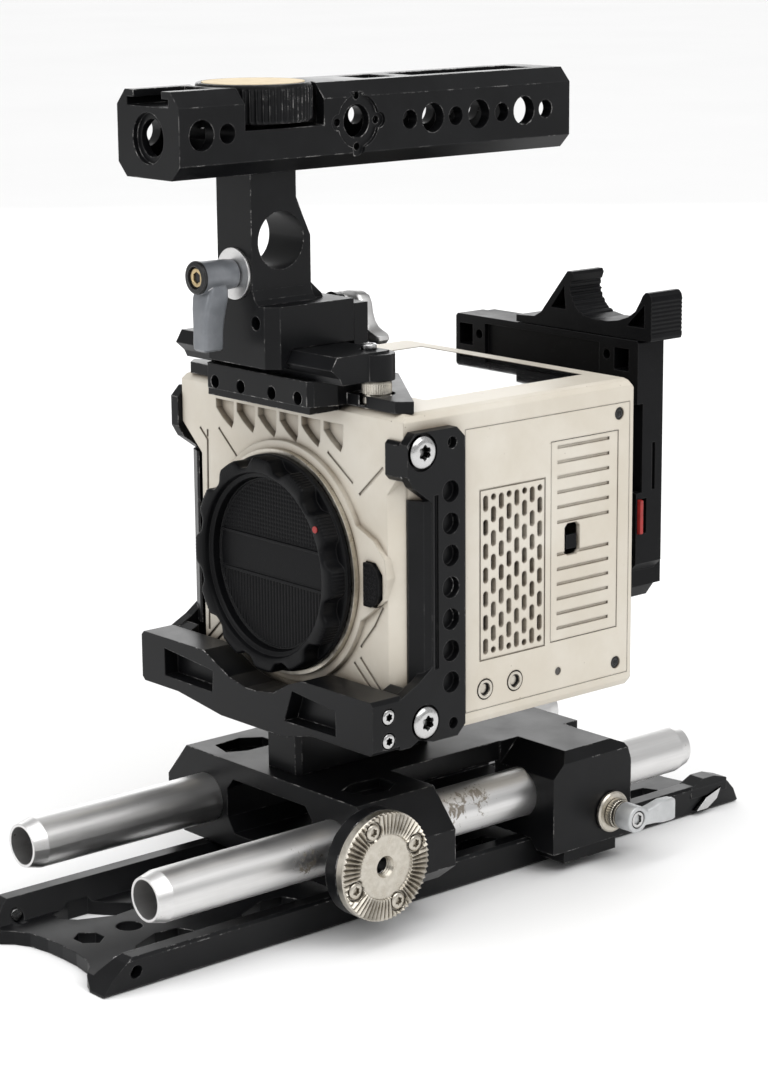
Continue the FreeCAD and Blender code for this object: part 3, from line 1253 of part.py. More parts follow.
pocket(battery, "lever_channel", "XY_Plane", [rectangle("0", "24", "70", "75")], "bat_top - 2.5",
    "bat_top + 1")

contacts = body_named("battery_contacts")
pad(contacts, "contact_block", "XZ_Plane", [rectangle("-10.8", "10.8", "104.2", "119.8")],
    "bat_rear - 3.9", "bat_rear - 1.2")
pins = [("-6", "108", "1.2"), ("6", "108", "1.2"), ("0", "115.5", "1.2")]
pad(contacts, "contact_pins", "XZ_Plane", pins, "bat_rear - 1.3", "bat_rear + 1.5")

release = body_named("battery_release_lever")
saddle = [
    ("-13", "159.5"), ("45", "159.5"), ("45.4", "160.5"), ("45.4", "171.6"), ("45", "173"), ("44",
        "174"), ("42.8", "174.1"),
    ("41.6", "173"), ("40.4", "170.8"), ("38.6", "168"), ("35.6", "166"), ("31.5", "164.6"), ("27",
        "163.9"), ("21", "163.8"),
    ("17", "164.5"), ("13.8", "166.2"), ("11.8", "169.2"), ("11", "173"), ("12.2",
        "176.4"), ("11.6", "177.4"),
    ("9.6", "177.4"), ("-2", "163.6"), ("-5", "162"), ("-13", "161.6"),
]
pad(release, "saddle", "XZ_Plane", [saddle], "bat_front + 0.5", "bat_rear - 0.3")
hollow = [("2.4", "165.6"), ("9", "165.6"), ("8.4", "170"), ("8.4", "173")]
pocket(release, "saddle_pocket", "XZ_Plane", [hollow], "bat_front", "bat_front + 6")
hollow = [("35", "163.4"), ("42.4", "163.4"), ("42.4", "170.4")]
pocket(release, "saddle_pocket_right", "XZ_Plane", [hollow], "bat_front", "bat_front + 5")
ribs = [("45.8", f"{162 + 1.25 * step}", "0.62") for step in range(8)]
ribs += [("13.4", "167.4", "0.6"), ("12.3", "168.9", "0.6"), ("11.6", "170.5", "0.6"),
    ("11.2", "172.1", "0.6"), ("11.5", "173.8", "0.6")]
ribs += [("15", "165.9", "0.6"), ("16.8", "165", "0.6")]
pocket(release, "saddle_ribs", "XZ_Plane", ribs, "bat_front", "bat_rear")
pad(release, "saddle_tongue", "XY_Plane", [rectangle("6", "22", "70.2", "74.8")], "bat_top - 2.2",
    "bat_top + 0.5")

red_button = body_named("battery_release_button")
pad(red_button, "red_pad", "YZ_Plane",
    [rectangle("bat_front + 0.6", "bat_front + 4.4", "99.9", "110.6")], "bat_half - 3.4",
    "bat_half + 1.1")

gathered("audio_jacks", jacks)
gathered("body_screws", body_screws)

# ---------------------------------------------------------------- checks and export

doc.recompute()
os.makedirs("parts", exist_ok=True)
for old in os.listdir("parts"):
    os.remove(os.path.join("parts", old))
for item in doc.Objects:
    if "Invalid" in item.State or "Error" in item.State:
        raise RuntimeError(f"{item.Label} is {item.State}")
for item in PARTS:
    if item.Shape.isNull() or not item.Shape.isValid():
        raise RuntimeError(f"{item.Label} has no valid shape")
    item.Shape.exportStep(os.path.join("parts", item.Label + ".step"))
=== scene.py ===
import json
import math

import bmesh
import bpy
from mathutils import Matrix, Vector


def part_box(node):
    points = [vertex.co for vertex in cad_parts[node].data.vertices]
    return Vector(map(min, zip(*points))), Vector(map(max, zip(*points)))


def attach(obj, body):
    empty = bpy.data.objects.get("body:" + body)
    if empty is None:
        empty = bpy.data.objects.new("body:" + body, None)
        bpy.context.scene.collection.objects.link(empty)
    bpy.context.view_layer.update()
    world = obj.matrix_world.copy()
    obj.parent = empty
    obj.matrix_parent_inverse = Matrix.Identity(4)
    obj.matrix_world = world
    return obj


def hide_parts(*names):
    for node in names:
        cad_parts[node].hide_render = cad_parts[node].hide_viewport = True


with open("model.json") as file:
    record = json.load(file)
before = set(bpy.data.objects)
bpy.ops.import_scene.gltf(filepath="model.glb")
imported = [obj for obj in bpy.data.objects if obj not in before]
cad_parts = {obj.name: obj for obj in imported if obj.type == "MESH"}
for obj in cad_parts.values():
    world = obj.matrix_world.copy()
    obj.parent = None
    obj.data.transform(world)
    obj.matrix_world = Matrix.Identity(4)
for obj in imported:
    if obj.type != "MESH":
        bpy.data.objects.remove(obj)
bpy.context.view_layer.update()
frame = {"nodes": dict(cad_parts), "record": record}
nodes = frame["nodes"]


# ------------------------------------------------------------------ node helpers

class Shade:
    """A small builder for one material's node tree."""

    def __init__(self, name, **settings):
        self.material = bpy.data.materials.new(name)
        self.material.use_nodes = True
        self.tree = self.material.node_tree
        self.shader = self.tree.nodes["Principled BSDF"]
        for socket, value in settings.items():
            self.shader.inputs[socket.replace("_", " ")].default_value = value
        self.coords = self.tree.nodes.new("ShaderNodeTexCoord").outputs["Object"]

    def node(self, kind, **settings):
        made = self.tree.nodes.new(kind)
        for key, value in settings.items():
            setattr(made, key, value)
        return made

    def link(self, source, target):
        self.tree.links.new(source, target)

    def feed(self, target, value):
        if isinstance(value, bpy.types.NodeSocket):
            self.link(value, target)
        else:
            target.default_value = value

    def stretched(self, scale):
        mapping = self.node("ShaderNodeMapping")
        mapping.inputs["Scale"].default_value = scale
        self.link(self.coords, mapping.inputs["Vector"])
        return mapping.outputs["Vector"]

    def noise(self, scale, detail=4.0, rough=0.55, vector=None, distortion=0.0):
        made = self.node("ShaderNodeTexNoise")
        made.inputs["Scale"].default_value = scale
        made.inputs["Detail"].default_value = detail
        made.inputs["Roughness"].default_value = rough
        made.inputs["Distortion"].default_value = distortion
        self.link(vector or self.coords, made.inputs["Vector"])
        return made.outputs["Fac"]

    def cells(self, scale, vector=None, feature="F1"):
        made = self.node("ShaderNodeTexVoronoi", feature=feature)
        made.inputs["Scale"].default_value = scale
        self.link(vector or self.coords, made.inputs["Vector"])
        return made.outputs["Distance"]

    def ramp(self, value, low, high, start=0.0, end=1.0):
        made = self.node("ShaderNodeMapRange", interpolation_type="SMOOTHSTEP")
        made.inputs["From Min"].default_value = low
        made.inputs["From Max"].default_value = high
        made.inputs["To Min"].default_value = start
        made.inputs["To Max"].default_value = end
        self.link(value, made.inputs["Value"])
        return made.outputs["Result"]

    def math(self, kind, first, second=0.0):
        made = self.node("ShaderNodeMath", operation=kind)
        self.feed(made.inputs[0], first)
        self.feed(made.inputs[1], second)
        return made.outputs[0]

    def mix(self, factor, first, second):
        made = self.node("ShaderNodeMix", data_type="RGBA")
        self.feed(made.inputs[0], factor)
        self.feed(made.inputs[6], first)
        self.feed(made.inputs[7], second)
        return made.outputs[2]

    def lerp(self, factor, first, second):
        made = self.node("ShaderNodeMix", data_type="FLOAT")
        self.feed(made.inputs[0], factor)
        self.feed(made.inputs[2], first)
        self.feed(made.inputs[3], second)
        return made.outputs[0]

    def edges(self, radius, low=0.002, high=0.05):
        """1 along sharp edges, 0 on flat faces."""
        bevel = self.node("ShaderNodeBevel", samples=4)
        bevel.inputs["Radius"].default_value = radius
        geometry = self.node("ShaderNodeNewGeometry")
        dot = self.node("ShaderNodeVectorMath", operation="DOT_PRODUCT")
        self.link(bevel.outputs["Normal"], dot.inputs[0])
        self.link(geometry.outputs["Normal"], dot.inputs[1])
        return self.ramp(self.math("SUBTRACT", 1.0, dot.outputs["Value"]), low, high)

    def crease(self, distance, low=0.35, high=0.95):
        """1 in corners and gaps, 0 in the open, from ambient occlusion; a colour mixed in by it is
        painted shade.
        """
        made = self.node("ShaderNodeAmbientOcclusion", samples=8)
        made.inputs["Distance"].default_value = distance
        return self.ramp(made.outputs["AO"], high, low)

    def near(self, place, reach):
        """1 at a place in the frame, falling to 0 at the reach."""
        away = self.node("ShaderNodeVectorMath", operation="DISTANCE")
        self.link(self.coords, away.inputs[0])
        away.inputs[1].default_value = place
        return self.ramp(away.outputs["Value"], reach, reach * 0.25)

    def relief(self, height, strength, distance=0.0002, round_edges=0.0):
        bump = self.node("ShaderNodeBump")
        bump.inputs["Strength"].default_value = strength
        bump.inputs["Distance"].default_value = distance
        self.link(height, bump.inputs["Height"])
        if round_edges:
            bevel = self.node("ShaderNodeBevel", samples=4)
            bevel.inputs["Radius"].default_value = round_edges
            self.link(bevel.outputs["Normal"], bump.inputs["Normal"])
        self.link(bump.outputs["Normal"], self.shader.inputs["Normal"])

    def colour(self, value):
        self.feed(self.shader.inputs["Base Color"], value)

    def rough(self, value):
        self.feed(self.shader.inputs["Roughness"], value)

    def metal(self, value):
        self.feed(self.shader.inputs["Metallic"], value)


def grey(level, warm=0.0):
    return (level * (1 + warm), level, level * (1 - warm), 1.0)


def black_anodised():
    s = Shade("black_anodised", Specular_IOR_Level=0.17)
    patches = s.noise(55, 5, 0.6)
    fine = s.noise(2600, 2, 0.5)
    scuffs = s.ramp(s.noise(14, 6, 0.72, s.stretched((160, 30, 30))), 0.64, 0.74)
    chips = s.ramp(s.noise(260, 5, 0.75), 0.5, 0.6)
    chips = s.math("MULTIPLY", chips, s.ramp(s.noise(24, 3), 0.42, 0.58))
    edge = s.edges(0.0005, 0.01, 0.14)
    worn = s.math("MULTIPLY", edge, chips)
    rubbed = s.math("MULTIPLY", edge, 0.16)
    base = s.mix(s.ramp(patches, 0.3, 0.75), (0.0034, 0.0035, 0.004, 1), (0.0062, 0.0064, 0.0072, 1))
    base = s.mix(s.math("MULTIPLY", scuffs, 0.05), base, grey(0.14))
    base = s.mix(rubbed, base, grey(0.12))
    s.colour(s.mix(worn, base, grey(0.5, 0.02)))
    s.metal(s.math("MULTIPLY", worn, 0.8))
    rough = s.ramp(patches, 0.25, 0.8, 0.28, 0.4)
    s.rough(s.lerp(worn, rough, 0.35))
    s.relief(fine, 0.1, 0.00006, 0.0005)
    return s.material


def brushed_silver():
    s = Shade("brushed_silver", Metallic=1.0)
    lines = s.noise(60, 3, 0.5, s.stretched((26, 1.0, 26)))
    clouds = s.noise(30, 5, 0.6)
    stained = s.near((0.0365, -0.063, 0.0245), 0.008)
    for place in ((0.0365, -0.004, 0.0285), (0.0365, 0.004, 0.029)):
        stained = s.math("MAXIMUM", stained, s.near(place, 0.009))
    stains = s.math("ADD", s.noise(420, 6, 0.75, None, 0.6), s.math("MULTIPLY", stained, 0.2))
    stains = s.ramp(stains, 0.665, 0.74)
    specks = s.math("MULTIPLY", s.ramp(s.cells(330), 0.16, 0.06), s.ramp(s.noise(60, 3), 0.6, 0.66))
    base = s.mix(s.ramp(lines, 0.2, 0.8), grey(0.70, 0.008), grey(0.76, 0.008))
    base = s.mix(s.ramp(clouds, 0.3, 0.8, 0.0, 0.25), base, grey(0.6, 0.02))
    base = s.mix(s.math("MULTIPLY", stains, 0.8), base, (0.17, 0.135, 0.09, 1))
    s.colour(s.mix(s.math("MULTIPLY", specks, 0.85), base, (0.13, 0.09, 0.06, 1)))
    rough = s.ramp(clouds, 0.3, 0.75, 0.33, 0.43)
    s.rough(s.lerp(stains, rough, 0.62))
    s.relief(lines, 0.012, 0.00003, 0.0004)
    return s.material


def satin_aluminium():
    s = Shade("bare_aluminium", Metallic=0.85)
    patches = s.noise(160, 5, 0.6)
    nicks = s.ramp(s.noise(700, 5, 0.75), 0.62, 0.72)
    base = s.mix(s.ramp(patches, 0.3, 0.7), (0.50, 0.51, 0.515, 1), (0.60, 0.61, 0.615, 1))
    s.colour(s.mix(s.math("MULTIPLY", nicks, 0.5), base, grey(0.25)))
    s.rough(s.ramp(patches, 0.3, 0.7, 0.42, 0.54))
    s.relief(s.noise(2200, 3), 0.12, 0.00005, 0.0004)
    return s.material


def nickel():
    s = Shade("nickel", Metallic=1.0)
    # grime in hollows and painted shade: an occlusion mask darkens corners and gaps to dark brown
    hollow_grime_and_shade = s.crease(0.0012, 0.3, 0.85)
    patches = s.noise(420, 5, 0.65)
    base = s.mix(s.ramp(patches, 0.35, 0.7), (0.5, 0.465, 0.4, 1), (0.62, 0.585, 0.52, 1))
    s.colour(s.mix(s.math("MULTIPLY", hollow_grime_and_shade, 0.9), base, (0.07, 0.055, 0.04, 1)))
    s.rough(s.ramp(patches, 0.3, 0.7, 0.26, 0.42))
    s.relief(patches, 0.12, 0.00008, 0.0002)
    return s.material


def stainless():
    s = Shade("stainless", Metallic=1.0)
    patches = s.noise(700, 4, 0.6)
    # painted shade: an occlusion mask darkens drive recesses and corners nearly to black
    s.colour(s.mix(s.crease(0.0022, 0.5, 0.97), s.mix(patches, grey(0.5, 0.01), grey(0.62)), grey(0.012)))
    s.rough(s.ramp(patches, 0.3, 0.7, 0.16, 0.3))
    s.relief(patches, 0.08, 0.00004, 0.0002)
    return s.material


def black_steel():
    s = Shade("black_steel", Metallic=0.7)
    patches = s.noise(800, 4, 0.6)
    edge = s.edges(0.0003, 0.02, 0.2)
    s.colour(s.mix(s.math("MULTIPLY", edge, 0.5), s.mix(patches, grey(0.02), grey(0.035)), grey(0.3)))
    s.rough(s.ramp(patches, 0.3, 0.7, 0.3, 0.45))
    s.relief(patches, 0.08, 0.00004, 0.0002)
    return s.material


def grey_satin():
    s = Shade("grey_satin", Metallic=0.35, Specular_IOR_Level=0.6)
    patches = s.noise(180, 5, 0.6)
    edge = s.math("MULTIPLY", s.edges(0.0006, 0.02, 0.2), s.ramp(s.noise(500, 3), 0.48, 0.6))
    base = s.mix(s.ramp(patches, 0.3, 0.7), (0.155, 0.165, 0.18, 1), (0.2, 0.21, 0.225, 1))
    s.colour(s.mix(edge, base, grey(0.6)))
    s.rough(s.ramp(patches, 0.3, 0.7, 0.34, 0.46))
    s.relief(s.noise(1800, 3), 0.1, 0.00006, 0.0006)
    return s.material


def brass():
    s = Shade("brass", Metallic=1.0)
    patches = s.noise(900, 4, 0.6)
    # painted shade: an occlusion mask darkens corners and recesses
    s.colour(s.mix(s.crease(0.001), s.mix(patches, (0.5, 0.38, 0.2, 1), (0.62, 0.5, 0.3, 1)), grey(0.06)))
    s.rough(s.ramp(patches, 0.3, 0.7, 0.28, 0.42))
    s.relief(patches, 0.08, 0.00004, 0.0002)
    return s.material


def cream_paint():
    s = Shade("cream_paint", Specular_IOR_Level=0.42)
    clouds = s.noise(24, 6, 0.62)
    peel = s.noise(1500, 3, 0.5)
    crease_dirt_and_shade = s.crease(0.006, 0.35, 0.95)
    smudges = s.ramp(s.noise(33, 7, 0.7, None, 0.8), 0.54, 0.78)
    specks = s.ramp(s.cells(260), 0.07, 0.03)
    specks = s.math("MULTIPLY", specks, s.ramp(s.noise(40, 3), 0.52, 0.6))
    scratches = s.ramp(s.noise(26, 6, 0.75, s.stretched((40, 6, 14))), 0.66, 0.72)
    edge = s.math("MULTIPLY", s.edges(0.0006, 0.02, 0.2), s.ramp(s.noise(120, 5, 0.7), 0.46, 0.62))
    base = s.mix(s.ramp(clouds, 0.3, 0.72), (0.575, 0.525, 0.44, 1), (0.665, 0.625, 0.55, 1))
    base = s.mix(s.math("MULTIPLY", smudges, 0.24), base, (0.44, 0.36, 0.25, 1))
    base = s.mix(s.math("MULTIPLY", scratches, 0.16), base, (0.34, 0.27, 0.19, 1))
    base = s.mix(s.math("MULTIPLY", edge, 0.35), base, (0.36, 0.28, 0.19, 1))
    # dirt in creases and painted shade: an occlusion mask, broken by noise, darkens corners and gaps to
    # brown
    patchy_dirt_and_shade = s.math("MULTIPLY", crease_dirt_and_shade, s.ramp(s.noise(70, 4), 0.25, 0.7, 0.35, 0.95))
    base = s.mix(patchy_dirt_and_shade, base, (0.2, 0.15, 0.1, 1))
    # painted shade: an occlusion mask turns deep holes and interiors, such as the vents, nearly black
    base = s.mix(s.crease(0.008, 0.16, 0.42), base, grey(0.004))
    s.colour(s.mix(s.math("MULTIPLY", specks, 0.75), base, (0.14, 0.1, 0.07, 1)))
    s.rough(s.ramp(clouds, 0.3, 0.7, 0.36, 0.5))
    s.relief(peel, 0.14, 0.00008, 0.0008)
    return s.material


def black_plastic():
    s = Shade("black_plastic", Specular_IOR_Level=0.09)
    grain = s.noise(3200, 3, 0.5)
    patches = s.noise(60, 5, 0.6)
    dust = s.math("MULTIPLY", s.ramp(s.noise(900, 5, 0.75), 0.6, 0.72), 0.05)
    edge = s.math("MULTIPLY", s.edges(0.0005, 0.02, 0.2), 0.12)
    base = s.mix(s.ramp(patches, 0.3, 0.7), (0.0028, 0.0029, 0.0034, 1), (0.0052, 0.0053, 0.006, 1))
    s.colour(s.mix(s.math("MAXIMUM", dust, edge), base, grey(0.2)))
    s.rough(s.ramp(patches, 0.3, 0.7, 0.3, 0.42))
    s.relief(grain, 0.25, 0.00008, 0.0004)
    return s.material


def plain_plastic(name, colour, rough):
    s = Shade(name)
    patches = s.noise(400, 4, 0.6)
    darker = tuple(c * 0.75 for c in colour[:3]) + (1.0,)
    s.colour(s.mix(s.ramp(patches, 0.3, 0.7), darker, colour))
    s.rough(s.ramp(patches, 0.3, 0.7, rough, rough + 0.12))
    s.relief(patches, 0.06, 0.00005, 0.0003)
    return s.material


def screen_glass():
    s = Shade("screen_glass", Specular_IOR_Level=0.6, Coat_Weight=0.7, Coat_Roughness=0.03)
    dust = s.math("MULTIPLY", s.ramp(s.noise(700, 6, 0.8), 0.58, 0.72), 0.12)
    s.colour(s.mix(dust, grey(0.006), grey(0.35)))
    s.rough(s.ramp(s.noise(30, 5, 0.7), 0.3, 0.8, 0.03, 0.08))
    return s.material


def circuit_board():
    s = Shade("circuit_board", Specular_IOR_Level=0.5)
    traces = s.ramp(s.cells(700, None, "F2"), 0.3, 0.55)
    s.colour(s.mix(traces, (0.01, 0.07, 0.03, 1), (0.03, 0.16, 0.07, 1)))
    s.rough(s.ramp(traces, 0, 1, 0.35, 0.5))
    s.relief(traces, 0.2, 0.0001)
    return s.material


def wheel_inlay():
    s = Shade("wheel_inlay")
    rings = s.noise(120, 6, 0.6, s.stretched((1, 6, 1)))
    s.colour(s.mix(s.ramp(rings, 0.3, 0.7), (0.55, 0.43, 0.26, 1), (0.72, 0.6, 0.4, 1)))
    s.rough(s.ramp(rings, 0.3, 0.7, 0.5, 0.65))
    s.relief(rings, 0.2, 0.0001, 0.0003)
    return s.material


MATERIALS = {
    "black_anodised": black_anodised(),
    "brushed_silver": brushed_silver(),
    "nickel": nickel(),
    "stainless": stainless(),
    "black_steel": black_steel(),
    "grey_satin": grey_satin(),
    "brass": brass(),
    "cream_paint": cream_paint(),
    "black_plastic": black_plastic(),
    "red_plastic": plain_plastic("red_plastic", (0.36, 0.016, 0.014, 1), 0.35),
    "screen_glass": screen_glass(),
    "lamp_lens": plain_plastic("lamp_lens", (0.06, 0.055, 0.05, 1), 0.2),
    "circuit_board": circuit_board(),
    "sensor_glass": plain_plastic("sensor_glass", (0.02, 0.03, 0.05, 1), 0.08),
    "bare_aluminium": satin_aluminium(),
    "wheel_inlay": wheel_inlay(),
}

slot_of = {entry["node"]: entry["material_slot"] for entry in frame["record"]["subparts"]}
for name, obj in nodes.items():
    obj.data.materials.clear()
    obj.data.materials.append(MATERIALS[slot_of[name]])


# ------------------------------------------------------------------ detailed pieces

BODY_OF = {node: body for body, held in frame["record"]["behaviour"]["bodies"].items() for node in held}
MM = 0.001


def placed(name, points, faces, node, smooth=35, stands_for=True, slot=None):
    """A finished mesh, in millimetres, that rides on a CAD node's body.

    It stands for the node, unless it is an extra piece beside one that does.
    """
    slot = slot or slot_of[node]
    mesh = bpy.data.meshes.new(name)
    mesh.from_pydata([tuple(c * MM for c in point) for point in points], [], faces)
    work = bmesh.new()
    work.from_mesh(mesh)
    bmesh.ops.remove_doubles(work, verts=work.verts, dist=1e-6)
    bmesh.ops.recalc_face_normals(work, faces=work.faces)
    work.to_mesh(mesh)
    work.free()
    mesh.shade_smooth()
    mesh.set_sharp_from_angle(angle=math.radians(smooth))
    mesh.materials.append(MATERIALS[slot])
    obj = bpy.data.objects.new(name, mesh)
    bpy.context.scene.collection.objects.link(obj)
    if stands_for:
        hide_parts(node)
    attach(obj, BODY_OF[node])
    return obj


def turned(centre, axis, rings, steps, turn=0.0):
    """Points and faces of a turned piece.

    Each ring is (radius, height), and either may be a function of the angle.
    """
    axis = Vector(axis).normalized()
    first = axis.orthogonal().normalized() if abs(axis.z) > 0.9 else Vector((0, 0, 1))
    second = axis.cross(first)
    points, faces = [], []
    for radius, height in rings:
        for step in range(steps):
            angle = math.tau * step / steps + turn
            r = radius(angle) if callable(radius) else radius
            h = height(angle) if callable(height) else height
            point = Vector(centre) + first * (r * math.cos(angle))
            points.append(point + second * (r * math.sin(angle)) + axis * h)
    for ring in range(len(rings) - 1):
        for step in range(steps):
            a, b = ring * steps + step, ring * steps + (step + 1) % steps
            faces.append((a, b, b + steps, a + steps))
    faces.append(tuple(range(steps)))
    last = (len(rings) - 1) * steps
    faces.append(tuple(range(last, last + steps)))
    return points, faces


def lofted(sections):
    """Points and faces of a body drawn through closed sections of equal length."""
    count = len(sections[0])
    points = [point for section in sections for point in section]
    faces = []
    for level in range(len(sections) - 1):
        for step in range(count):
            a, b = level * count + step, level * count + (step + 1) % count
            faces.append((a, b, b + count, a + count))
    faces.append(tuple(range(count)))
    last = (len(sections) - 1) * count
    faces.append(tuple(range(last, last + count)))
    return points, faces


def rounded(width, height, corner, steps=5):
    """A rounded rectangle about the origin, as (across, along) pairs."""
    ring = []
    for quarter, (sx, sy) in enumerate(((1, 1), (-1, 1), (-1, -1), (1, -1))):
        for step in range(steps + 1):
            angle = math.pi / 2 * (quarter + step / steps)
            ring.append((
                sx * (width / 2 - corner) + corner * math.cos(angle),
                sy * (height / 2 - corner) + corner * math.sin(angle),
            ))
    return ring


def together(*parts):
    points, faces = [], []
    for part_points, part_faces in parts:
        start = len(points)
        points += part_points
        faces += [tuple(index + start for index in face) for face in part_faces]
    return points, faces


def star(radius, depth=0.13):
    return lambda angle: radius * (1 + depth * math.cos(6 * angle))


def hexagon(radius):
    def edge(angle):
        within = (angle % (math.pi / 3)) - math.pi / 6
        return radius * math.cos(math.pi / 6) / math.cos(within)
    return edge


def screw(centre, axis, base, radius, top, drive, depth, dome=0.35, turn=0.0):
    """A button head with a recessed drive; base and top are heights along the axis."""
    rings = [
        (radius * 0.98, base), (radius, base + 0.15), (radius, top - dome - 0.1),
        (radius * 0.95, top - dome * 0.7), (radius * 0.84, top - dome * 0.32),
        (radius * 0.7, top - dome * 0.08), (radius * 0.6, top),
    ]
    rings += [
        (lambda a: drive(a) * 1.07, top - 0.01), (drive, top - 0.16),
        (lambda a: drive(a) * 0.94, top - depth),
    ]
    return turned(centre, axis, rings, 72, turn)


# ---- body cap
LENS_Z, CAP_FRONT = 101.5, -48.0
LOBES, LOBE_RIBS, PIT_PITCH = 12, 16, 1.25


def lobe(base, rise):
    """A scalloped rim: finger lands between round hollows, the lands finely ribbed."""
    def edge(angle):
        wave = 0.5 + 0.5 * math.cos(LOBES * angle)
        land = min(1.0, wave * 1.5)
        ribs = 0.11 * math.cos(LOBES * LOBE_RIBS * angle) if land > 0.9 else 0.0
        return base + rise * (land * land * (3 - 2 * land)) + ribs
    return edge


def cap_rim():
    front = -CAP_FRONT
    rings = [
        (26.2, front - 6.9), (31.6, front - 7.35), (32, front - 7.1), (32, front - 5.9),
        (31.7, front - 5.6), (31.3, front - 5.5), (lobe(29.0, 2.6), front - 5.4),
        (lobe(28.9, 2.7), front - 1.0), (lobe(28.8, 2.6), front - 0.45),
        (lobe(28.6, 2.4), front - 0.12), (lobe(28.3, 2.1), front), (27.7, front),
        (27.35, front - 0.2), (27.1, front - 0.6), (26.9, front - 2.0), (26.3, front - 2.15),
        (25.7, front - 2.5), (25.4, front - 5.2), (25.4, front - 6),
    ]
    return turned((0, 0, LENS_Z), (0, -1, 0), rings, LOBES * LOBE_RIBS * 5)


def cap_face():
    """The dished face: a grid of small pits above, upright ribs below, a finely checked band between."""
    pitch, limit = 0.2, 25.35
    size = int(limit / pitch) + 1
    points, faces, index = [], [], {}

    def height(x, z):
        r = math.hypot(x, z)
        upper, lower = 6.7, -4.6
        if abs(z - upper) < 0.42 or abs(z - lower) < 0.42:
            level = 0.75
        elif lower < z < upper:
            level = 0.12 + 0.06 * math.cos(math.tau * x / 0.8) * math.cos(math.tau * z / 0.8)
        elif z > upper:
            pit_x, pit_z = (0.5 - 0.5 * math.cos(math.tau * c / PIT_PITCH) for c in (x, z))
            level = -0.16 * pit_x * pit_z * 2.2
        else:
            level = -0.32 * max(0.0, math.cos(math.tau * x / 1.4)) ** 0.6
        blend_in = min(1.0, max(0.0, (24.6 - r) / 0.4))
        return level * blend_in + (0.5 if r > 24.75 else 0.0)

    for i in range(-size, size + 1):
        for j in range(-size, size + 1):
            x, z = i * pitch, j * pitch
            if math.hypot(x, z) <= limit:
                index[i, j] = len(points)
                points.append((x, CAP_FRONT + 4.95 - height(x, z), LENS_Z + z))
    for (i, j), corner in index.items():
        others = [index.get((i + 1, j)), index.get((i + 1, j + 1)), index.get((i, j + 1))]
        if None not in others:
            faces.append((corner, *others))
    return points, faces


placed("cap", *together(cap_rim(), cap_face()), "body_cap", 40)

# ---- toothed rosette
ROSETTE, ROSETTE_FACE, ROSETTE_TEETH = (0, -47.7, 24), 55.0, 60
SEAT_CIRCLE, SEAT_RADIUS = 12, 2.85
SEATS = [math.radians(angle) for angle in (22, 112, 202, 292)]


def rosette_rings():
    def level(radius):
        def height(angle):
            y, z = radius * math.cos(angle), radius * math.sin(angle)
            for seat in SEATS:
                away = math.hypot(y - SEAT_CIRCLE * math.cos(seat), z - SEAT_CIRCLE * math.sin(seat))
                if away < SEAT_RADIUS:
                    return ROSETTE_FACE - 1.5
                if away < SEAT_RADIUS + 0.3:
                    return ROSETTE_FACE - 1.5 + (away - SEAT_RADIUS) * 3
            tooth = abs(((angle * ROSETTE_TEETH / math.tau) % 1.0) - 0.5) * 2
            if radius < 9.4:
                return ROSETTE_FACE - 1.05
            reach = min(1.0, (radius - 9.2) / 2.2)
            return ROSETTE_FACE - 0.15 - (1 - tooth) * (0.45 + 0.5 * reach)
        return height

    radii = [3.6 + 0.25 * step for step in range(49)]
    bore = ((2.6, 3.6), (2.9, 3.2), (2.6, 2.8), (2.9, 2.4), (2.6, 2), (2.9, 1.6), (3.2, 1.05))
    rim = ((15.75, 1.05), (15.9, 1.3), (15.9, 3.7), (15.6, 3.85))
    rings = [(radius, ROSETTE_FACE - depth) for radius, depth in bore]
    rings += [(radius, level(radius)) for radius in radii]
    return rings + [(radius, ROSETTE_FACE - depth) for radius, depth in rim]


def about_x(rings, centre, steps):
    """Turned about +X with the angle measured from +Y towards +Z."""
    points, faces = [], []
    for radius, height in rings:
        for step in range(steps):
            angle = math.tau * step / steps
            h = height(angle) if callable(height) else height
            points.append((h, centre[1] + radius * math.cos(angle), centre[2] + radius * math.sin(angle)))
    for ring in range(len(rings) - 1):
        for step in range(steps):
            a, b = ring * steps + step, ring * steps + (step + 1) % steps
            faces.append((a, b, b + steps, a + steps))
    return points, faces


placed("rosette", *about_x(rosette_rings(), ROSETTE, 720), "rosette", 25)
placed("rosette_screws", *together(*[
    screw(
        (0, ROSETTE[1] + SEAT_CIRCLE * math.cos(seat), ROSETTE[2] + SEAT_CIRCLE * math.sin(seat)),
        (1, 0, 0), 53.3, 2.4, 54.4, star(1.1), 1.0, 0.5, seat,
    ) for seat in SEATS
]), "rosette_screws", 30, True, "nickel")

# ---- screws of the cage and the body, the jacks, and the set screws in the top rail
JACKS = ((-6.3, 67.2), (5.5, 67.5))
RAIL_Y, RAIL_SCREW_X, SPACER_X = -31.5, 29.8, 33

placed("cage_large_screws", *together(*[
    screw((0, y, z), (side, 0, 0), 52.9, 4.6, 55.15, star(1.95), 2.0, 0.9, 0.3 * side)
    for side in (1, -1) for y, z in ((-33, 140.8), (-32.3, 63.2))
]), "cage_large_screws", 30)
placed("cage_small_screws", *together(*[
    screw((0, -46.2, z), (side, 0, 0), 53.1, 2.2, 54.35, star(1.0), 1.1, 0.4, 0.7 * side)
    for side in (1, -1) for z in (67.5, 60.5)
]), "cage_small_screws", 30)
placed("body_screws", *together(*[
    screw((0, y, z), (side, 0, 0), 49.5, 1.8, 50.25, star(0.85), 0.4, 0.12, 0.2)
    for side in (1, -1) for y, z in ((47.6, 141), (47, 65.2))
]), "body_screws", 30)
placed("jacks", *together(*[
    turned((0, y, z), (1, 0, 0), [
        (2.7, 49.6), (2.85, 50.3), (2.75, 50.62), (2.35, 50.7), (1.95, 50.6), (1.75, 50.2), (1.7, 48.7),
    ], 64) for y, z in JACKS
]), "audio_jacks", 30, True, "nickel")
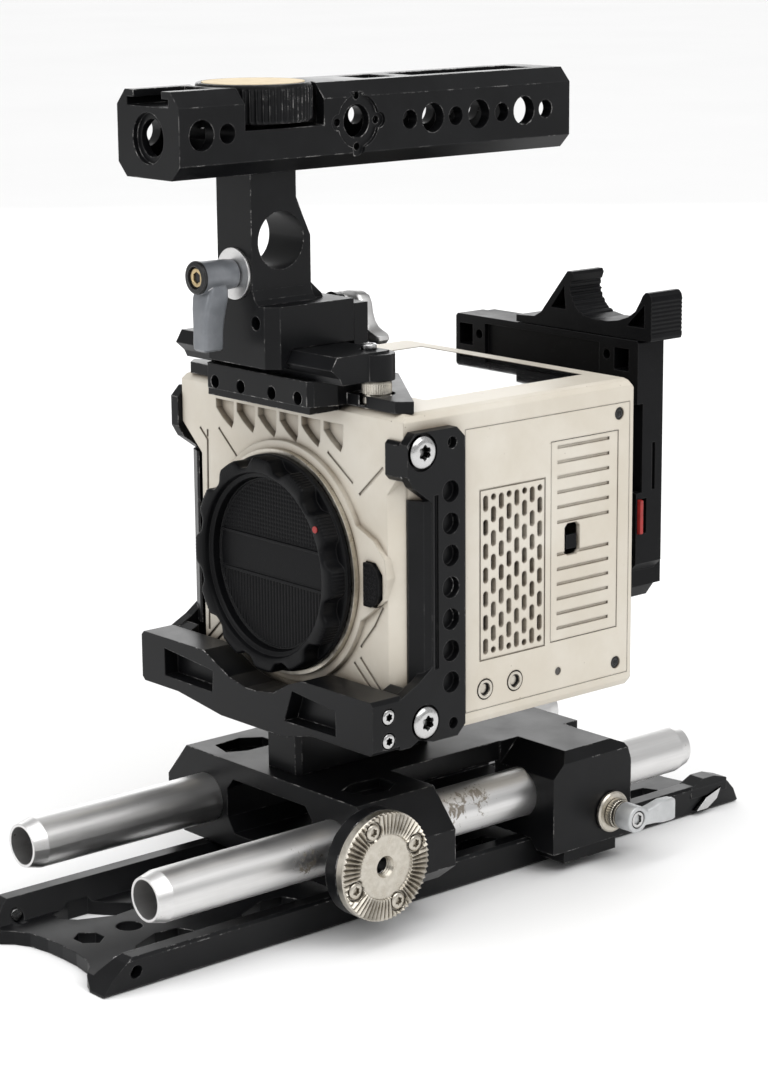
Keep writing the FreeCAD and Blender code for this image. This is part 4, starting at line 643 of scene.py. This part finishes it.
placed("jack_bores", *together(*[
    turned((0, y, z), (1, 0, 0), [
        (1.85, 48.8), (1.85, 50.1), (1.6, 50.2), (1.5, 50.05), (1.45, 49.1),
    ], 48) for y, z in JACKS
]), "audio_jacks", 30, False, "black_plastic")
placed("rail_screws", *together(*[
    turned((side * RAIL_SCREW_X, RAIL_Y, 0), (0, 0, 1), [
        (2.2, 159.5), (2.2, 167.9), (2.0, 168.15), (hexagon(1.45), 168.15), (hexagon(1.3), 168),
        (hexagon(1.3), 166.2),
    ], 48) for side in (1, -1)
]), "rail_screws", 30)


# ---- lens release button: a round-sided pad covered in small pits
def release_button():
    outline = (
        (36.5, 95.2), (39.6, 95.2), (41.9, 96.6), (43.1, 99.4), (43.1, 103.6), (41.9, 106.4),
        (39.6, 107.8), (36.5, 107.8),
    )
    skirt = lofted([[(x, y, z) for x, z in outline] for y in (-36.4, -40.1)])

    def inset(x, z):
        gaps = []
        for (x0, z0), (x1, z1) in zip(outline, outline[1:] + outline[:1]):
            length = math.hypot(x1 - x0, z1 - z0)
            gaps.append(((x1 - x0) * (z - z0) - (z1 - z0) * (x - x0)) / length)
        return min(gaps)

    pitch, row_step, pit_step = 0.14, 1.25, 1.2
    index, points, faces = {}, [], []
    for i in range(50):
        for j in range(94):
            x, z = 36.5 + i * pitch, 95.1 + j * pitch
            gap = inset(x, z)
            if gap > 0:
                row = round((z - 95.2) / row_step)
                near_x = (x - 36.9 - pit_step / 2 * (row % 2)) % pit_step - pit_step / 2
                near_z = z - 95.2 - row * row_step
                pit = max(0.0, 1 - (near_x ** 2 + near_z ** 2) / 0.2)
                rise = 0.42 * math.sqrt(min(1.0, gap / 0.7))
                index[i, j] = len(points)
                points.append((x, -40.1 - rise + 0.42 * math.sqrt(pit) * min(1.0, gap), z))
    for (i, j), corner in index.items():
        others = [index.get((i + 1, j)), index.get((i + 1, j + 1)), index.get((i, j + 1))]
        if None not in others:
            faces.append((corner, *others))
    return together(skirt, (points, faces))


placed("release_button", *release_button(), "lens_release_button", 40)

# ---- rear block clamp: a washer and a ribbed collar on the stud, then the bare paddle
HUB = (0, 51.2, 16.1)


def ribbed(radius, depth, count):
    return lambda angle: radius + depth * math.cos(count * angle)


placed("clamp_stud", *together(
    turned(HUB, (1, 0, 0), [(3, 39), (3, 45.1)], 48),
    turned(HUB, (1, 0, 0), [(5.9, 45.15), (6.4, 45.4), (6.4, 46.3), (5.9, 46.7), (4.2, 47)], 64),
    turned(HUB, (1, 0, 0), [
        (4.2, 47), (4.4, 47.1), (ribbed(4.45, 0.1, 36), 47.3), (ribbed(4.45, 0.1, 36), 49.3), (4.3, 49.5),
        (3.7, 49.6), (3.7, 49.9), (4.2, 50), (4.2, 50.5), (4, 50.6),
    ], 288),
), "clamp_stud", 25)


def paddle():
    stations = (
        (49.6, 16.4, 5.0, 4.2), (51.2, 16.3, 7.0, 4.8), (54, 15.9, 6.4, 4.6), (57, 15.2, 4.8, 4.0),
        (60.5, 15.4, 5.8, 3.8), (64, 15.5, 7.2, 3.6), (68, 15.3, 7.2, 3.2), (69.5, 15.1, 6.6, 2.6),
    )
    sections = []
    for y, z, tall, thick in stations:
        sections.append([(53.6 + across, y, z + rise) for across, rise in rounded(thick, tall, 0.8, 3)])
    return lofted(sections)


placed("rear_paddle", *together(
    paddle(),
    turned(HUB, (1, 0, 0), [
        (3.9, 50.7), (4.2, 51), (4.2, 56.3), (4.0, 56.8), (3.6, 57), (2.9, 57), (2.75, 56.7), (2.75, 55),
    ], 96),
), "clamp_lever", 28)
placed("rear_screw", *turned(HUB, (1, 0, 0), [
    (2.6, 54.5), (2.6, 56.5), (2.4, 56.75), (hexagon(1.75), 56.75), (hexagon(1.62), 56.5),
    (hexagon(1.62), 54.8),
], 96), "clamp_lever", 28, False, "stainless")

# ---- the lever that locks the handle's riser
LOCK_Z = 187.2


def grip():
    stations = (
        (186, 6.2, 5.0, -63.4), (183.5, 8.0, 6.6, -63.6), (181, 8.2, 7.2, -64), (178, 7.2, 7.4, -64.5),
        (175, 6.4, 7.2, -64.8), (171.5, 6.1, 6.9, -65), (168.6, 6.2, 6.9, -65.1),
        (166.9, 6.0, 6.6, -65.1), (166.4, 5.2, 5.8, -65.1),
    )
    sections = []
    for z, wide, deep, y in stations:
        sections.append([(across, y + along, z) for across, along in rounded(wide, deep, 1.1, 4)])
    return lofted(sections)


placed("lock_lever", *together(
    grip(),
    turned((0, 0, LOCK_Z), (0, -1, 0), [
        (3, 52.9), (3, 56.1), (3.7, 56.2), (4.1, 56.5), (4.3, 58.6), (4.4, 62), (4.5, 67.4),
        (4.6, 68.1), (4.6, 68.9), (4.4, 69.25), (4.0, 69.4), (3.3, 69.4), (3.1, 69.2), (3.05, 68.6),
        (3.05, 64.4),
    ], 96),
), "lock_lever", 30)
placed("lock_ring", *turned((0, 0, LOCK_Z), (0, -1, 0), [
    (4.35, 68.0), (4.7, 68.2), (4.72, 68.9), (4.45, 69.3), (4.0, 69.48), (3.2, 69.48), (3.05, 69.2),
    (3.05, 68.2),
], 96), "lock_lever", 30, False, "black_steel")
placed("lock_bolt", *turned((0, 0, LOCK_Z), (0, -1, 0), [
    (2.8, 64.4), (2.9, 64.6), (2.9, 68.5), (2.6, 68.8), (2.1, 68.85), (hexagon(1.75), 68.7),
    (hexagon(1.6), 68.4), (hexagon(1.6), 65.8),
], 96), "lock_bolt", 25)


# ---- the bright fin that closes the handle's rail jaw
JAW_PIVOT = (0, 0, 174)


def blade():
    """Full at its pivot, hollow on its outer edge, with softened sides."""
    outline = (
        (-4.2, 174), (-3.4, 176.6), (-1, 178.2), (2.2, 178.9), (5.7, 178.8), (7.8, 177.8),
        (8.9, 175.6), (9.3, 173), (10.2, 170.6), (12, 168.7), (14.4, 167.5), (16.4, 166.8),
        (16.6, 165.6), (15.6, 164.5), (12, 164.6), (7, 165.6), (3.5, 167), (0, 169), (-3, 171.2),
    )
    middle = Vector((5, 171))
    sides = (
        (-16.7, 0.84), (-16.5, 0.93), (-16, 0.985), (-15.4, 1), (-13, 1), (-12.4, 0.985), (-12, 0.94),
        (-11.8, 0.86),
    )
    sections = []
    for y, shrink in sides:
        ring = [middle + (Vector(point) - middle) * shrink for point in outline]
        sections.append([(point.x, y, point.y) for point in ring])
    return lofted(sections)


placed("jaw_blade", *together(
    blade(),
    turned(JAW_PIVOT, (0, 1, 0), [
        (2.15, -17.6), (4.2, -17.6), (4.5, -17.3), (4.5, -11.5), (4.2, -11.2), (2.15, -11.2),
    ], 64),
), "handle_clamp_lever", 40)

# ---- turned spacers under the ends of the top rail
placed("spacers", *together(*[
    turned((side * SPACER_X, RAIL_Y, 0), (0, 0, 1), [
        (3.6, 149), (3.9, 150.4), (4.25, 151.3), (4.25, 153.9), (4.0, 154.1), (4.0, 154.5), (4.3, 154.7),
        (ribbed(4.25, 0.08, 40), 155), (ribbed(4.25, 0.08, 40), 157.3), (4.3, 157.6), (4.1, 158.3),
        (3.4, 158.45),
    ], 240) for side in (1, -1)
]), "rail_standoffs", 30, True, "nickel")


# ---- the handle's wheel: grip ribs round a dished top, with its stud below
WHEEL, WHEEL_RIBS = (0, -47.5, 0), 56


def wheel_rib(radius, depth):
    """Round-bottomed grooves between narrow flat lands."""
    def edge(angle):
        wave = 0.5 + 0.5 * math.cos(WHEEL_RIBS * angle)
        return radius - depth * min(1.0, wave * 1.6) ** 0.7
    return edge


placed("wheel", *together(
    turned(WHEEL, (0, 0, 1), [
        (14.4, 239.6), (14.6, 239.9), (15.4, 240.15), (15.9, 240), (16.15, 239.5), (16.2, 239.1),
        (wheel_rib(16.3, 0.2), 238.9), (wheel_rib(16.6, 0.75), 238.6),
        (wheel_rib(16.6, 0.75), 230.3), (wheel_rib(16.3, 0.3), 229.8), (15.9, 229.4), (9, 229.2),
        (8.8, 229.2),
    ], WHEEL_RIBS * 12),
    turned(WHEEL, (0, 0, 1), [(4.7, 207.2), (4.7, 229.3)], 64),
), "handle_wheel", 35)

# ---- the battery button: a narrow strip at the front of its bay
button_low, button_high = (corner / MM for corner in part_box("battery_release_button"))
BUTTON_WIDE = 1.5
middle_y, middle_z = button_low.y + BUTTON_WIDE / 2, (button_low.z + button_high.z) / 2
button_rows = []
for outward, shrink in ((0, 0), (0.85, 0), (1, 0.15)):
    across = button_low.x + (button_high.x - button_low.x) * outward
    button_rows.append([
        (across, middle_y + y * (1 - shrink), middle_z + z * (1 - shrink / 6))
        for y, z in rounded(BUTTON_WIDE, button_high.z - button_low.z, 0.3, 3)
    ])
placed("red_button", *lofted(button_rows), "battery_release_button", 30)


# ------------------------------------------------------------------ floor, light and camera

REACH, SUNK = 6, 0.0002
floor_mesh = bpy.data.meshes.new("floor")
floor_corners = [(-REACH, -REACH, 0), (REACH, -REACH, 0), (REACH, REACH, 0), (-REACH, REACH, 0)]
floor_mesh.from_pydata(floor_corners, [], [(0, 1, 2, 3)])
floor = bpy.data.objects.new("floor", floor_mesh)
bpy.context.scene.collection.objects.link(floor)
floor.location.z = -SUNK
paper = Shade("paper", Specular_IOR_Level=0.2)
paper.colour(paper.mix(paper.noise(3, 3), grey(0.86), grey(0.9)))
paper.rough(paper.ramp(paper.noise(8), 0.3, 0.7, 0.75, 0.85))
floor_mesh.materials.append(paper.material)

SKY, OVERHEAD = 0.52, 1.95
world = bpy.data.worlds.new("studio")
bpy.context.scene.world = world
world.use_nodes = True
background = world.node_tree.nodes["Background"]
background.inputs["Color"].default_value = (1, 1, 1, 1)
background.inputs["Strength"].default_value = SKY


def softbox(name, place, target, width, height, power, hidden=False):
    data = bpy.data.lights.new(name, "AREA")
    data.shape = "RECTANGLE"
    data.size = width
    data.size_y = height
    data.energy = power
    lamp = bpy.data.objects.new(name, data)
    lamp.location = place
    lamp.rotation_euler = (Vector(target) - Vector(place)).to_track_quat("-Z", "Y").to_euler()
    lamp.visible_camera = not hidden
    bpy.context.scene.collection.objects.link(lamp)


sun_data = bpy.data.lights.new("overhead", "SUN")
sun_data.energy = OVERHEAD
sun_data.angle = math.radians(70)
sun = bpy.data.objects.new("overhead", sun_data)
sun.rotation_euler = (math.radians(12), math.radians(14), 0)
bpy.context.scene.collection.objects.link(sun)
softbox("right_box", (1.1, 0.2, 1.05), (0, 0, 0.16), 0.7, 0.5, 5)
softbox("front_box", (-0.4, -1.4, 0.6), (0, 0, 0.12), 0.8, 0.6, 4)
softbox("back_box", (-1.25, 1.1, 0.62), (0, 0, 0.16), 1.7, 0.7, 7, True)

# the camera of the photograph: turned about the object from its front, and looking down on it
AZIMUTH, ELEVATION, ROLL = math.radians(49.2066), math.radians(13.1423), math.radians(-0.4552)
CAMERA_PLACE, LENS_MM = (0.624876, -0.540, 0.293439), 93.65
forward = Vector((
    -math.sin(AZIMUTH) * math.cos(ELEVATION),
    math.cos(AZIMUTH) * math.cos(ELEVATION),
    -math.sin(ELEVATION),
))
level_right = Vector((math.cos(AZIMUTH), math.sin(AZIMUTH), 0))
level_up = level_right.cross(forward)
right = level_right * math.cos(ROLL) + level_up * math.sin(ROLL)
up = level_up * math.cos(ROLL) - level_right * math.sin(ROLL)
camera_data = bpy.data.cameras.new("camera")
camera_data.sensor_width = 36
camera_data.sensor_fit = "AUTO"
camera_data.lens = LENS_MM
camera = bpy.data.objects.new("camera", camera_data)
axes = Matrix((right, up, -forward)).transposed()
camera.matrix_world = Matrix.Translation(CAMERA_PLACE) @ axes.to_4x4()
bpy.context.scene.collection.objects.link(camera)
bpy.context.scene.camera = camera
bpy.context.scene.view_settings.view_transform = "Standard"
